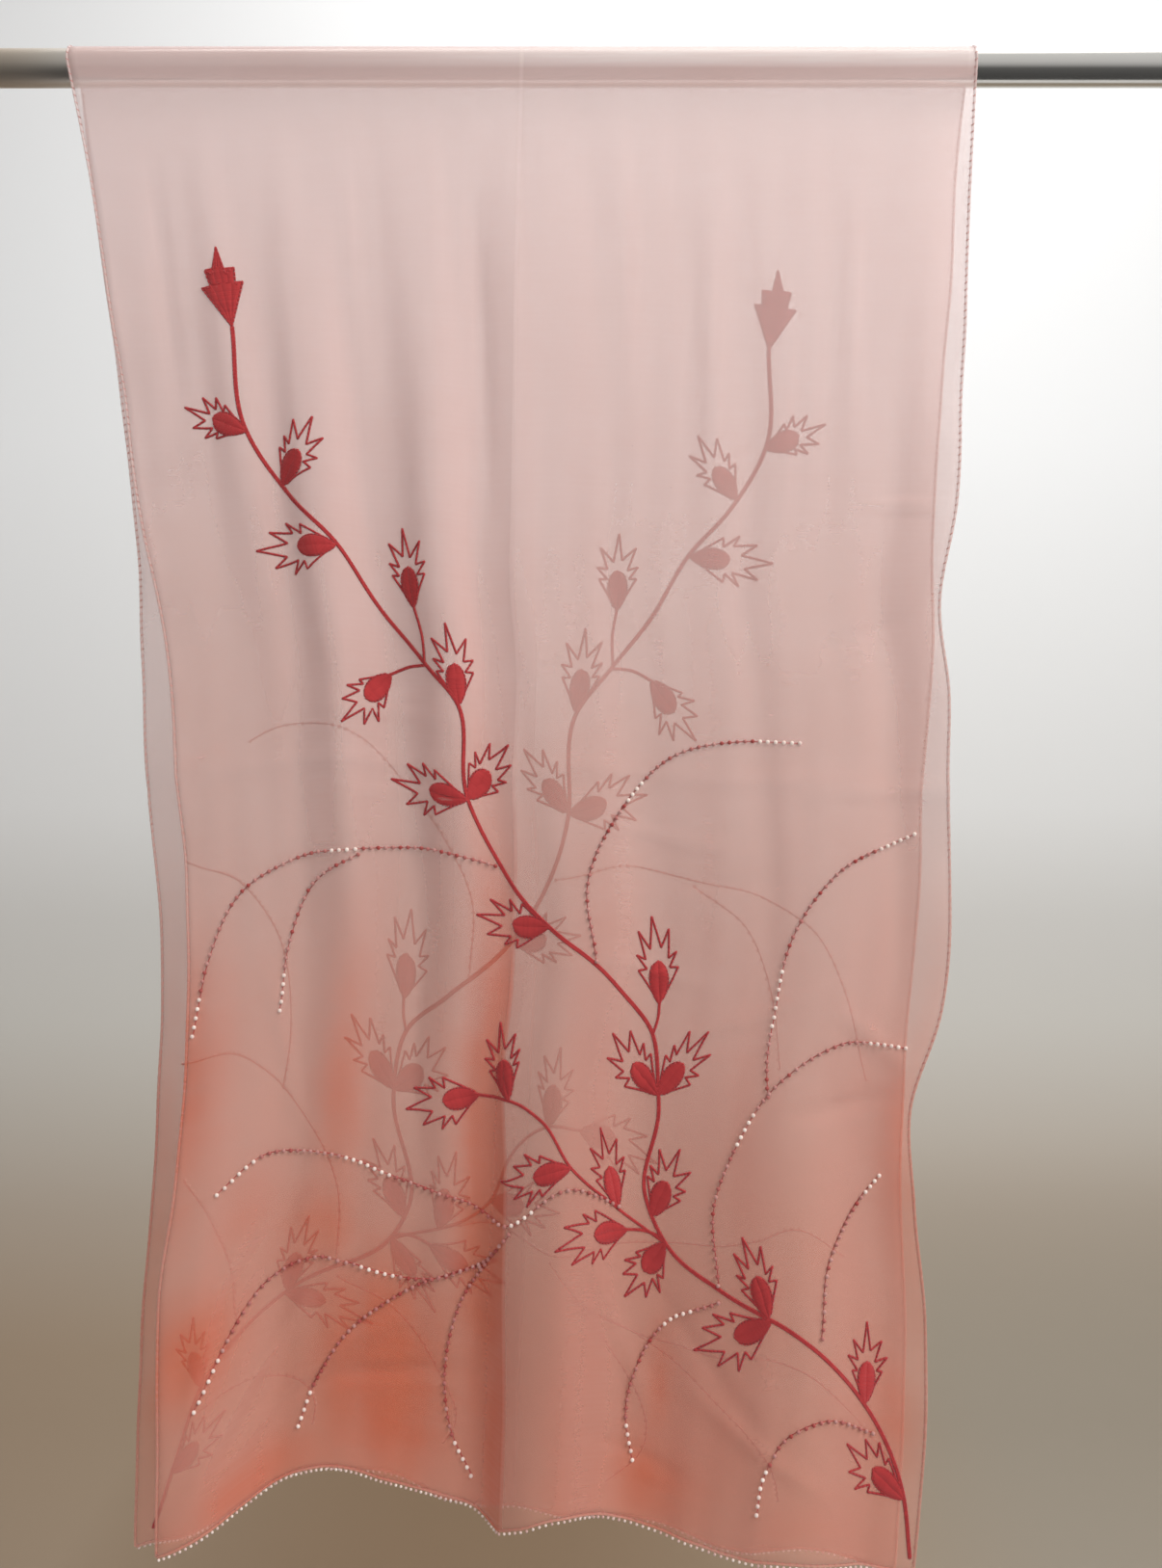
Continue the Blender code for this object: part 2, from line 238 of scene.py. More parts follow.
@dataclass(frozen=True)
class Fall:
    """One hanging stretch of the cloth: side is -1 in front of the rail and +1 behind it."""

    side: int
    drop: float
    edges: tuple[Edge, ...]
    lifts: tuple[Lift, ...]
    crease: tuple[Crease, ...]
    folds: tuple[Fold, ...]
    wrinkles: tuple[Wrinkle, ...]
    seed: int

    def crease_line(self, along: Array) -> Array:
        """Where the middle crease lies on the evenly spread fall, at distances along it."""
        rows, places = [row.along for row in self.crease], [row.across for row in self.crease]
        return smooth_through(rows, places, along)

    def spread(self, across: Array, along: Array) -> Array:
        """Where the cloth's own places would lie across the fall if its halves were gathered alike.

        Args:
            across: distances across the cloth, whose middle crease is at half its width.
            along: distances along the cloth, broadcast against across.

        Returns:
            Distances across the evenly spread fall. The left half is gathered more than the right
            one, so the crease shows left of the middle.
        """
        line = self.crease_line(along)
        left = across * line / MIDDLE_CREASE
        right = (CLOTH_WIDTH - across) * (CLOTH_WIDTH - line) / (CLOTH_WIDTH - MIDDLE_CREASE)
        return np.where(across < MIDDLE_CREASE, left, CLOTH_WIDTH - right)

    def gathered(self, spread: Array, along: Array) -> Array:
        """Reads spread backwards: the cloth's own places from those on the evenly spread fall."""
        line = self.crease_line(along)
        left = spread * MIDDLE_CREASE / line
        right = (CLOTH_WIDTH - spread) * (CLOTH_WIDTH - MIDDLE_CREASE) / (CLOTH_WIDTH - line)
        return np.where(spread < line, left, CLOTH_WIDTH - right)

    def folded(self, across: Array, along: Array) -> Array:
        """Stand-out of the soft folds and the two pressed creases.

        Args:
            across: distances across the cloth.
            along: distances along the cloth, broadcast against across.

        Returns:
            The sum of each fold's bell, grown from its start to its full depth and died away by its
            end, the middle crease's tent and the cross crease's tent.
        """
        out = np.zeros(np.broadcast(across, along).shape)
        for fold in self.folds:
            ridge = fold.top + (fold.foot - fold.top) * along / self.drop
            grown = ramp(along, fold.start, fold.full)
            if fold.end is not None:
                grown = grown * (1 - ramp(along, fold.full, fold.end))
            out = out + fold.depth * grown * bell(across - ridge, fold.half)
        middle = tent(across - self.crease_line(along), MIDDLE_CREASE_LEFT, MIDDLE_CREASE_RIGHT)
        out = out + MIDDLE_CREASE_DEPTH * ramp(along, 0.02, 0.20) * middle
        cross = tent(along - CROSS_CREASE_ALONG, CROSS_CREASE_HALF, CROSS_CREASE_HALF)
        return out + CROSS_CREASE_DEPTH * cross

    def wrinkled(self, across: Array, along: Array) -> Array:
        """Stand-out of the listed wrinkles and of the cloth's own faint waviness.

        Args:
            across: distances across the cloth.
            along: distances along the cloth, broadcast against across.

        Returns:
            For each wrinkle, its depth times a bell of the distance to its line and a sine along it,
            then a sum of long shallow waves whose directions and phases come from a fixed seed, and
            a small flutter that fades away from the side edges.
        """
        shape = np.broadcast(across, along).shape
        across, along = np.broadcast_to(across, shape), np.broadcast_to(along, shape)
        out = np.zeros(shape)
        for row in self.wrinkles:
            way = np.array([row.across_b - row.across_a, row.along_b - row.along_a])
            length = float(np.hypot(*way))
            t = ((across - row.across_a) * way[0] + (along - row.along_a) * way[1]) / length**2
            t = np.clip(t, 0, 1)
            off = np.hypot(across - row.across_a - t * way[0], along - row.along_a - t * way[1])
            out = out + row.depth * bell(off, row.half) * np.sin(math.pi * t) ** 0.8
        rng = np.random.default_rng(self.seed)
        for _ in range(FAINT_WAVES):
            wave, turn = rng.uniform(*FAINT_WAVE_LONG), rng.normal(0, FAINT_WAVE_TURN)
            phase = rng.uniform(0, 6.28)
            place = across * math.cos(turn) + along * math.sin(turn)
            out = out + FAINT_WAVE_DEPTH * np.sin(2 * math.pi * place / wave + phase)
        out = out * ramp(along, 0.0, 0.10)
        inside = np.minimum(across, CLOTH_WIDTH - across)
        long, short = (along * 2 * math.pi / wave for wave in FLUTTER_LONG)
        flutter = np.sin(long + self.seed) + 0.6 * np.sin(short)
        fading = np.exp(-inside / FLUTTER_REACH)
        return out + FLUTTER_DEPTH * flutter * fading * ramp(along, 0.03, 0.25)

    def points(self, across: Array, along: Array) -> Array:
        """Places of a grid on the fall's middle surface.

        Args:
            across: the columns' distances across the cloth.
            along: the rows' distances along the cloth.

        Returns:
            An array of rows, columns and 3. The width is shared out between the two edges as the
            folds take it up, a step across a fold's steep side moving less in x. A place is as far
            below the rail as it is along the cloth, less its share of the lift at the hem.
        """
        fine = np.linspace(0, CLOTH_WIDTH, SLOPE_COLUMNS)
        slope = np.gradient(self.folded(fine[None, :], along[:, None]), fine, axis=1)
        run = np.cumsum(np.sqrt(1 - np.clip(slope, -STEEPEST, STEEPEST) ** 2), axis=1)
        run = (run - run[:, :1]) / (run[:, -1:] - run[:, :1])
        places = self.spread(across[None, :], along[:, None])
        share = np.array([np.interp(row_places, fine, row) for row_places, row in zip(places, run)])
        downs = [edge.along for edge in self.edges]
        left = smooth_through(downs, [edge.left for edge in self.edges], along)[:, None]
        right = smooth_through(downs, [edge.right for edge in self.edges], along)[:, None]
        columns, lifts = [row.across for row in self.lifts], [row.lift for row in self.lifts]
        lift = smooth_through(columns, lifts, places)
        out = self.folded(places, along[:, None]) + self.wrinkled(places, along[:, None])
        made = np.empty((len(along), len(across), 3))
        made[..., 0] = left + (right - left) * share
        made[..., 1] = self.side * (HANG_RADIUS + out)
        made[..., 2] = -along[:, None] + lift * (along[:, None] / self.drop) ** LIFT_POWER
        return made


FRONT = Fall(
    side=-1,
    drop=1.040,
    edges=(
        Edge(0.000, -0.314, 0.314),
        Edge(0.075, -0.299, 0.310),
        Edge(0.160, -0.286, 0.306),
        Edge(0.230, -0.275, 0.302),
        Edge(0.310, -0.265, 0.297),
        Edge(0.375, -0.252, 0.285),
        Edge(0.440, -0.242, 0.291),
        Edge(0.505, -0.238, 0.290),
        Edge(0.575, -0.231, 0.292),
        Edge(0.655, -0.227, 0.286),
        Edge(0.725, -0.228, 0.265),
        Edge(0.790, -0.231, 0.267),
        Edge(0.870, -0.240, 0.275),
        Edge(0.950, -0.238, 0.274),
        Edge(1.040, -0.239, 0.267),
    ),
    lifts=(
        Lift(0.00, 0.028),
        Lift(0.05, 0.045),
        Lift(0.08, 0.054),
        Lift(0.11, 0.064),
        Lift(0.14, 0.067),
        Lift(0.18, 0.058),
        Lift(0.24, 0.044),
        Lift(0.28, 0.035),
        Lift(0.30, 0.041),
        Lift(0.33, 0.049),
        Lift(0.36, 0.044),
        Lift(0.39, 0.034),
        Lift(0.43, 0.025),
        Lift(0.48, 0.018),
        Lift(0.53, 0.018),
        Lift(0.58, 0.009),
        Lift(0.63, 0.000),
    ),
    crease=(
        Crease(0.000, 0.315),
        Crease(0.090, 0.306),
        Crease(0.240, 0.297),
        Crease(0.400, 0.291),
        Crease(0.530, 0.279),
        Crease(0.650, 0.270),
        Crease(0.780, 0.277),
        Crease(0.920, 0.280),
        Crease(1.040, 0.284),
    ),
    folds=(
        Fold(0.000, 0.010, 0.100, 0.044, 0.50, 1.02, None),
        Fold(0.085, 0.090, 0.034, 0.006, 0.03, 0.25, 0.60),
        Fold(0.145, 0.125, 0.042, 0.013, 0.04, 0.35, 0.95),
        Fold(0.235, 0.225, 0.046, 0.015, 0.04, 0.40, 1.04),
        Fold(0.322, 0.322, 0.080, 0.032, 0.25, 1.02, None),
        Fold(0.420, 0.440, 0.060, 0.006, 0.10, 0.60, None),
        Fold(0.530, 0.525, 0.110, 0.034, 0.20, 1.02, None),
        Fold(0.630, 0.630, 0.050, 0.014, 0.08, 0.40, None),
    ),
    wrinkles=(
        Wrinkle(0.010, 1.020, 0.160, 0.860, 0.011, 0.0036),
        Wrinkle(0.020, 0.995, 0.105, 0.840, 0.009, -0.0026),
        Wrinkle(0.045, 1.012, 0.215, 0.900, 0.010, 0.0030),
        Wrinkle(0.015, 0.960, 0.060, 0.840, 0.008, 0.0022),
        Wrinkle(0.090, 0.985, 0.250, 0.940, 0.009, -0.0024),
        Wrinkle(0.120, 0.900, 0.230, 0.815, 0.010, 0.0018),
        Wrinkle(0.040, 0.900, 0.130, 0.800, 0.008, -0.0015),
        Wrinkle(0.000, 0.505, 0.048, 0.490, 0.006, 0.0022),
        Wrinkle(0.100, 0.468, 0.255, 0.474, 0.006, 0.0012),
        Wrinkle(0.140, 0.452, 0.230, 0.447, 0.005, -0.0009),
        Wrinkle(0.120, 0.532, 0.270, 0.528, 0.006, 0.0010),
        Wrinkle(0.345, 0.545, 0.480, 0.560, 0.007, 0.0012),
        Wrinkle(0.360, 0.585, 0.520, 0.575, 0.006, -0.0010),
        Wrinkle(0.330, 0.640, 0.450, 0.655, 0.007, 0.0012),
        Wrinkle(0.400, 0.700, 0.560, 0.640, 0.009, 0.0014),
        Wrinkle(0.500, 0.520, 0.625, 0.508, 0.006, 0.0016),
        Wrinkle(0.560, 0.310, 0.628, 0.314, 0.005, 0.0020),
        Wrinkle(0.520, 0.420, 0.615, 0.385, 0.009, -0.0014),
        Wrinkle(0.540, 0.660, 0.625, 0.700, 0.010, 0.0028),
        Wrinkle(0.520, 0.740, 0.620, 0.715, 0.009, -0.0022),
        Wrinkle(0.060, 0.640, 0.100, 0.780, 0.009, 0.0016),
        Wrinkle(0.190, 0.640, 0.200, 0.800, 0.008, -0.0014),
        Wrinkle(0.350, 0.850, 0.420, 0.980, 0.011, 0.0022),
        Wrinkle(0.400, 0.860, 0.500, 0.960, 0.009, -0.0018),
        Wrinkle(0.430, 0.930, 0.560, 1.000, 0.010, 0.0024),
        Wrinkle(0.340, 0.980, 0.460, 1.005, 0.008, -0.0014),
        Wrinkle(0.440, 0.100, 0.448, 0.330, 0.007, 0.0012),
        Wrinkle(0.500, 0.130, 0.505, 0.420, 0.008, 0.0012),
        Wrinkle(0.555, 0.060, 0.560, 0.260, 0.008, -0.0014),
        Wrinkle(0.385, 0.060, 0.380, 0.240, 0.007, 0.0010),
        Wrinkle(0.045, 0.050, 0.040, 0.260, 0.009, -0.0016),
        Wrinkle(0.190, 0.040, 0.188, 0.220, 0.008, -0.0014),
        Wrinkle(0.272, 0.050, 0.276, 0.330, 0.009, -0.0018),
    ),
    seed=7,
)
BACK = Fall(
    side=1,
    drop=1.066,
    edges=(
        Edge(0.000, -0.314, 0.314),
        Edge(0.065, -0.307, 0.307),
        Edge(0.150, -0.296, 0.303),
        Edge(0.230, -0.285, 0.296),
        Edge(0.310, -0.276, 0.291),
        Edge(0.415, -0.270, 0.290),
        Edge(0.510, -0.267, 0.283),
        Edge(0.575, -0.260, 0.281),
        Edge(0.715, -0.262, 0.270),
        Edge(0.790, -0.268, 0.268),
        Edge(0.870, -0.276, 0.271),
        Edge(0.970, -0.283, 0.270),
        Edge(1.066, -0.285, 0.264),
    ),
    lifts=(
        Lift(0.00, 0.006),
        Lift(0.05, 0.024),
        Lift(0.08, 0.043),
        Lift(0.11, 0.063),
        Lift(0.15, 0.080),
        Lift(0.18, 0.077),
        Lift(0.22, 0.065),
        Lift(0.27, 0.050),
        Lift(0.31, 0.034),
        Lift(0.35, 0.032),
        Lift(0.39, 0.044),
        Lift(0.43, 0.036),
        Lift(0.48, 0.022),
        Lift(0.53, 0.006),
        Lift(0.58, 0.003),
        Lift(0.63, 0.004),
    ),
    crease=(
        Crease(0.000, 0.315),
        Crease(1.110, 0.315),
    ),
    folds=(
        Fold(0.000, 0.000, 0.090, 0.030, 0.45, 1.04, None),
        Fold(0.120, 0.130, 0.044, 0.009, 0.05, 0.30, 0.85),
        Fold(0.205, 0.215, 0.050, 0.014, 0.06, 0.50, None),
        Fold(0.315, 0.320, 0.078, 0.030, 0.22, 1.04, None),
        Fold(0.425, 0.440, 0.055, 0.012, 0.10, 0.70, None),
        Fold(0.560, 0.560, 0.090, 0.032, 0.20, 1.04, None),
    ),
    wrinkles=(
        Wrinkle(0.620, 1.040, 0.480, 0.880, 0.011, 0.0032),
        Wrinkle(0.610, 1.010, 0.530, 0.860, 0.009, -0.0024),
        Wrinkle(0.590, 1.030, 0.430, 0.930, 0.010, 0.0026),
        Wrinkle(0.030, 1.030, 0.150, 0.900, 0.010, 0.0026),
        Wrinkle(0.050, 0.960, 0.120, 0.850, 0.009, -0.0020),
        Wrinkle(0.250, 0.980, 0.380, 0.930, 0.009, 0.0020),
        Wrinkle(0.000, 0.520, 0.060, 0.500, 0.006, 0.0018),
        Wrinkle(0.580, 0.500, 0.630, 0.520, 0.006, 0.0020),
        Wrinkle(0.350, 0.470, 0.500, 0.462, 0.006, 0.0012),
        Wrinkle(0.120, 0.550, 0.260, 0.560, 0.007, 0.0012),
        Wrinkle(0.300, 0.640, 0.430, 0.628, 0.007, -0.0012),
        Wrinkle(0.140, 0.100, 0.136, 0.320, 0.008, 0.0012),
        Wrinkle(0.250, 0.060, 0.255, 0.300, 0.008, -0.0014),
        Wrinkle(0.480, 0.080, 0.486, 0.300, 0.008, 0.0014),
        Wrinkle(0.560, 0.050, 0.558, 0.240, 0.008, -0.0014),
        Wrinkle(0.540, 0.660, 0.600, 0.780, 0.009, 0.0020),
        Wrinkle(0.020, 0.640, 0.060, 0.760, 0.009, 0.0020),
    ),
    seed=19,
)


class Puffs(NamedTuple):
    """A layer of soft cloud in the dye: the size of its puffs across and along, its weight and seed."""

    size: tuple[float, float]
    weight: float
    seed: int


FADE_CLOUDS = (Puffs((0.150, 0.120), 0.16, 31), Puffs((0.050, 0.022), 0.07, 32))
MEAN_DRIFT = 0.115
FADE_REACH = 1.06
DYE_CLOUDS = (Puffs((0.022, 0.090), 0.55, 33), Puffs((0.060, 0.012), 0.35, 34))
DYE_BASE = 0.55
DYE_STEPS = (0.02, 1.05)
BEYOND_CREASE = 0.2
BLOTCH_EDGE = 1.6


class Blotch(NamedTuple):
    """A place where the dye is deeper: across, distance from the hem, half sizes and strength."""

    across: float
    from_hem: float
    wide: float
    tall: float
    strength: float


BLOTCHES = (
    Blotch(0.176, 0.082, 0.062, 0.085, 1.15),
    Blotch(0.124, 0.184, 0.040, 0.045, 0.70),
    Blotch(0.133, 0.300, 0.026, 0.120, 0.75),
    Blotch(0.262, 0.250, 0.030, 0.260, 1.20),
    Blotch(0.274, 0.060, 0.024, 0.100, 1.20),
    Blotch(0.002, 0.315, 0.034, 0.100, 0.95),
    Blotch(0.022, 0.130, 0.045, 0.045, 0.85),
    Blotch(0.080, 0.010, 0.090, 0.035, 0.70),
    Blotch(0.060, 0.215, 0.045, 0.040, 0.40),
    Blotch(0.230, 0.330, 0.030, 0.060, 0.40),
    Blotch(0.412, 0.028, 0.042, 0.038, 0.80),
    Blotch(0.416, 0.100, 0.014, 0.060, 0.50),
    Blotch(0.404, 0.190, 0.036, 0.036, 0.30),
    Blotch(0.585, 0.330, 0.050, 0.040, 0.22),
    Blotch(0.560, 0.225, 0.050, 0.070, 0.12),
    Blotch(0.612, 0.096, 0.030, 0.055, 0.55),
    Blotch(0.626, 0.290, 0.022, 0.180, 0.60),
)


class Shift(NamedTuple):
    """How far the back end's embroidery sits from the front's place, at a distance from the hem."""

    from_hem: float
    inward: float
    upward: float


BACK_SHIFTS = (
    Shift(0.00, -0.009, 0.010),
    Shift(0.06, -0.020, -0.006),
    Shift(0.16, 0.004, -0.020),
    Shift(0.30, 0.017, -0.008),
    Shift(0.42, 0.036, 0.010),
    Shift(0.51, 0.046, 0.020),
    Shift(0.61, 0.041, 0.030),
    Shift(0.86, 0.045, 0.023),
)


@dataclass
class Drape:
    """The whole cloth as one grid, with readers for whatever is sewn on it."""

    columns: int = 112
    front_rows: int = 210
    crown_rows: int = 16
    back_rows: int = 130
    across: Array = field(init=False)
    run: Array = field(init=False)
    middle: Array = field(init=False)
    normal: Array = field(init=False)

    def __post_init__(self) -> None:
        """Lays the grid: up the front, half a turn over the rail, and down the back."""
        even = np.linspace(0, CLOTH_WIDTH, self.columns + 1)
        even = even[np.abs(even - MIDDLE_CREASE) > CREASE_CLEAR]
        self.across = np.sort(np.concatenate([even, MIDDLE_CREASE + np.array(CREASE_COLUMNS)]))
        up = np.linspace(FRONT.drop, 0, self.front_rows, endpoint=False)
        turn = np.linspace(0, math.pi, self.crown_rows, endpoint=False)
        down = np.linspace(0, BACK.drop, self.back_rows + 1)
        over = np.empty((len(turn), len(self.across), 3))
        left, right = FRONT.edges[0].left, FRONT.edges[0].right
        over[..., 0] = left + (right - left) * self.across[None, :] / CLOTH_WIDTH
        over[..., 1] = -HANG_RADIUS * np.cos(turn)[:, None]
        over[..., 2] = HANG_RADIUS * np.sin(turn)[:, None]
        front = FRONT.points(self.across, up)
        back = BACK.points(self.across, down)
        self.middle = np.concatenate([front, over, back])
        self.run = np.concatenate([
            FRONT.drop - up,
            FRONT.drop + HANG_RADIUS * turn,
            FRONT.drop + HANG_RADIUS * math.pi + down,
        ])
        self.normal = unit(np.cross(np.gradient(self.middle, axis=1), np.gradient(self.middle, axis=0)))

    @property
    def length(self) -> float:
        """The cloth's length from hem to hem."""
        return float(self.run[-1])

    def read(self, across: Array, run: Array) -> tuple[Array, Array]:
        """Reads places and outward normals of the cloth's middle surface, straight between grid points.

        Args:
            across: distances across the cloth.
            run: distances along the whole cloth.

        Returns:
            Two arrays of points and unit normals.
        """
        column = np.interp(across, self.across, np.arange(len(self.across)))
        row = np.interp(run, self.run, np.arange(len(self.run)))
        c = np.clip(column.astype(int), 0, len(self.across) - 2)
        r = np.clip(row.astype(int), 0, len(self.run) - 2)
        u, v = (column - c)[..., None], (row - r)[..., None]
        read = []
        for grid in (self.middle, self.normal):
            low = grid[r, c] * (1 - u) + grid[r, c + 1] * u
            high = grid[r + 1, c] * (1 - u) + grid[r + 1, c + 1] * u
            read.append(low * (1 - v) + high * v)
        return read[0], unit(read[1])

    def fade(self, across: Array, run: Array) -> Array:
        """How far the dip dye has gone, from 0 at the rail to 1 at a hem.

        Args:
            across: distances across the cloth.
            run: distances along the whole cloth.

        Returns:
            The share of the way down from the rail to the nearest hem, moved up and down by soft clouds.
        """
        from_hem = np.minimum(run, self.length - run)
        drift = clouds(across, run, FADE_CLOUDS)
        return np.clip(1 - (from_hem + drift - MEAN_DRIFT) / FADE_REACH, 0, 1)

    def dye(self, across: Array, run: Array) -> Array:
        """How strong the deeper blotches of dye are, from 0 to 1.

        Args:
            across: distances across the cloth.
            run: distances along the whole cloth.

        Returns:
            The largest of the blotches' round bells on either end of the cloth, much weaker beyond the
            middle crease, broken up by clouds drawn out down the cloth and by finer ones drawn out
            across it, and steepened.
        """
        made = np.zeros(np.broadcast(across, run).shape)
        along = np.clip(FRONT.drop - run, 0, FRONT.drop)
        spread, line = FRONT.spread(across, along), FRONT.crease_line(along)
        for blotch in BLOTCHES:
            for turned in (False, True):
                a = CLOTH_WIDTH - across if turned else spread
                e = self.length - run if turned else run
                off = np.hypot((a - blotch.across) / blotch.wide, (e - blotch.from_hem) / blotch.tall)
                beyond = (a - line) * (blotch.across - line) < 0
                strength = np.where(beyond, BEYOND_CREASE, 1.0) * blotch.strength
                made = np.maximum(made, strength * np.exp(-(off**BLOTCH_EDGE)))
        return ramp(made * clouds(across, run, DYE_CLOUDS, DYE_BASE), *DYE_STEPS)

    def end(self, side: int, design: Array) -> tuple[Array, Array]:
        """Reads places of a design drawn for the front fall, on either end of the cloth.

        Args:
            side: -1 for the front end, and +1 for the back end, where the cloth is turned half round
                and the design sits a little higher and nearer one edge towards its head.
            design: pairs of across and along, as on the front fall.

        Returns:
            Two arrays of points and unit normals.
        """
        from_hem = FRONT.drop - design[..., 1]
        if side < 0:
            along = np.clip(design[..., 1], 0, FRONT.drop)
            return self.read(FRONT.gathered(design[..., 0], along), from_hem)
        rows = [row.from_hem for row in BACK_SHIFTS]
        inward = smooth_through(rows, [row.inward for row in BACK_SHIFTS], from_hem)
        upward = smooth_through(rows, [row.upward for row in BACK_SHIFTS], from_hem)
        free = ramp(CLOTH_WIDTH - design[..., 0], 0.01, 0.16)
        inward = np.where(inward > 0, inward * free, inward)
        return self.read(CLOTH_WIDTH - design[..., 0] - inward, self.length - from_hem - upward * free)


def new_piece(name: str, vertices: Array, faces: list,
              finish: bpy.types.Material) -> bpy.types.Object:
    """Makes a smooth mesh object that rides on the scarf's body, at the origin, unturned.

    Args:
        name: the piece's name.
        vertices: its points.
        faces: its faces, as lists of point numbers.
        finish: its material.

    Returns:
        The object.
    """
    mesh = bpy.data.meshes.new(name)
    mesh.from_pydata(np.asarray(vertices, float).tolist(), [], faces)
    mesh.materials.append(finish)
    mesh.shade_smooth()
    made = bpy.data.objects.new(name, mesh)
    bpy.context.scene.collection.objects.link(made)
    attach(made, BODY)
    LOG.info("%s: %d faces", name, len(mesh.polygons))
    return made


def set_uv(piece: bpy.types.Object, name: str, places: Array) -> None:
    """Gives a piece a UV map with one place for each of its points.

    Args:
        piece: the object.
        name: the map's name.
        places: pairs, one for each vertex.
    """
    mesh = piece.data
    corner = np.empty(len(mesh.loops), np.int32)
    mesh.loops.foreach_get("vertex_index", corner)
    layer = mesh.uv_layers.new(name=name)
    layer.data.foreach_set("uv", np.asarray(places, np.float32)[corner].ravel())


def set_number(piece: bpy.types.Object, name: str, values: Array) -> None:
    """Gives a piece a number for each of its points, which its material reads by name.

    Args:
        piece: the object.
        name: the attribute's name.
        values: one number for each vertex.
    """
    made = piece.data.attributes.new(name, "FLOAT", "POINT")
    made.data.foreach_set("value", np.asarray(values, np.float32))


class Signal:
    """A shader socket that takes part in sums: an expression on it adds the Math nodes it needs."""

    def __init__(self, book: "Nodes", socket: bpy.types.NodeSocket) -> None:
        """Wraps a socket of a material's node tree."""
        self.book, self.socket = book, socket

    def _math(self, operation: str, *values: object) -> "Signal":
        """Adds one Math node on the given values and returns its result."""
        feeds = dict(enumerate(values))
        return self.book.add("ShaderNodeMath", {"operation": operation}, feeds)

    def __add__(self, other: object) -> "Signal":
        """self + other."""
        return self._math("ADD", self, other)

    __radd__ = __add__

    def __sub__(self, other: object) -> "Signal":
        """self - other."""
        return self._math("SUBTRACT", self, other)

    def __rsub__(self, other: object) -> "Signal":
        """other - self."""
        return self._math("SUBTRACT", other, self)

    def __mul__(self, other: object) -> "Signal":
        """self * other."""
        return self._math("MULTIPLY", self, other)

    __rmul__ = __mul__

    def __truediv__(self, other: object) -> "Signal":
        """self / other."""
        return self._math("DIVIDE", self, other)

    def most(self, other: object) -> "Signal":
        """The larger of self and other."""
        return self._math("MAXIMUM", self, other)

    def between(self, low: float, high: float) -> "Signal":
        """0 below low, 1 above high, and smooth between them."""
        settings = {"interpolation_type": "SMOOTHSTEP"}
        return self.book.add("ShaderNodeMapRange", settings, {0: self, 1: low, 2: high})


class Nodes:
    """The node tree of one material, or of the world, with one method that adds any node."""

    def __init__(self, name: str, world: bool = False) -> None:
        """Makes the material or the world, with nothing in its tree but its output."""
        self.made = (bpy.data.worlds if world else bpy.data.materials).new(name)
        self.made.use_nodes = True
        self.tree = self.made.node_tree
        self.tree.nodes.clear()
        kind = "World" if world else "Material"
        self.output = self.tree.nodes.new(f"ShaderNodeOutput{kind}")

    def add(self, kind: str, settings: dict | None = None, feeds: dict | None = None,
            out: int | str = 0) -> Signal:
        """Adds a node, sets it, and feeds its inputs.

        Args:
            kind: the node's type.
            settings: its properties, and stops for a colour ramp's places and colours.
            feeds: values, colours or signals for its inputs, by number or name.
            out: the output that is returned.

        Returns:
            The chosen output as a signal.
        """
        node = self.tree.nodes.new(kind)
        for key, value in (settings or {}).items():
            if key == "stops":
                ramp_stops = node.color_ramp.elements
                while len(ramp_stops) < len(value):
                    ramp_stops.new(0.5)
                for stop, (place, colour) in zip(ramp_stops, value):
                    stop.position, stop.color = place, (*colour, 1.0)
            else:
                setattr(node, key, value)
        for key, value in (feeds or {}).items():
            if isinstance(value, Signal):
                self.tree.links.new(value.socket, node.inputs[key])
            else:
                node.inputs[key].default_value = value
        return Signal(self, node.outputs[out])

    def split(self, place: Signal) -> tuple[Signal, ...]:
        """Splits a place into its X, Y and Z."""
        node = self.add("ShaderNodeSeparateXYZ", {}, {0: place}).socket.node
        return tuple(Signal(self, node.outputs[axis]) for axis in "XYZ")

    def mix(self, factor: object, first: object, second: object) -> Signal:
        """Mixes two colours by a factor from 0, all first, to 1, all second."""
        feeds = {0: factor, 6: first, 7: second}
        return self.add("ShaderNodeMix", {"data_type": "RGBA"}, feeds, 2)

    def noise(self, place: object, scale: float, detail: float = 2.0, rough: float = 0.5,
              flat: bool = False) -> Signal:
        """Reads a noise from about 0 to 1 at a place, which is on a map if it is flat."""
        feeds = {"Vector": place, "Scale": scale, "Detail": detail, "Roughness": rough}
        settings = {"noise_dimensions": "2D" if flat else "3D"}
        return self.add("ShaderNodeTexNoise", settings, feeds, "Fac")

    def stretched(self, place: object, scale: tuple[float, float, float]) -> Signal:
        """Scales a place by three factors."""
        return self.add("ShaderNodeMapping", {}, {"Vector": place, "Scale": scale})

    def bump(self, height: Signal, strength: float, distance: float) -> Signal:
        """Turns a height into a normal."""
        feeds = {"Height": height, "Strength": strength, "Distance": distance}
        return self.add("ShaderNodeBump", {}, feeds)

    def show(self, shader: Signal) -> bpy.types.Material | bpy.types.World:
        """Links a shader to the output, and returns the material or the world."""
        self.tree.links.new(shader.socket, self.output.inputs["Surface"])
        return self.made

    def finish(self, **feeds: object) -> bpy.types.Material:
        """Adds the Principled shader, its inputs' spaces written as _, and links it to the output."""
        named = {key.replace("_", " "): value for key, value in feeds.items()}
        return self.show(self.add("ShaderNodeBsdfPrincipled", {}, named))


def colour(red: float, green: float, blue: float) -> Colour:
    """A solid colour from its linear parts."""
    return (red, green, blue, 1.0)


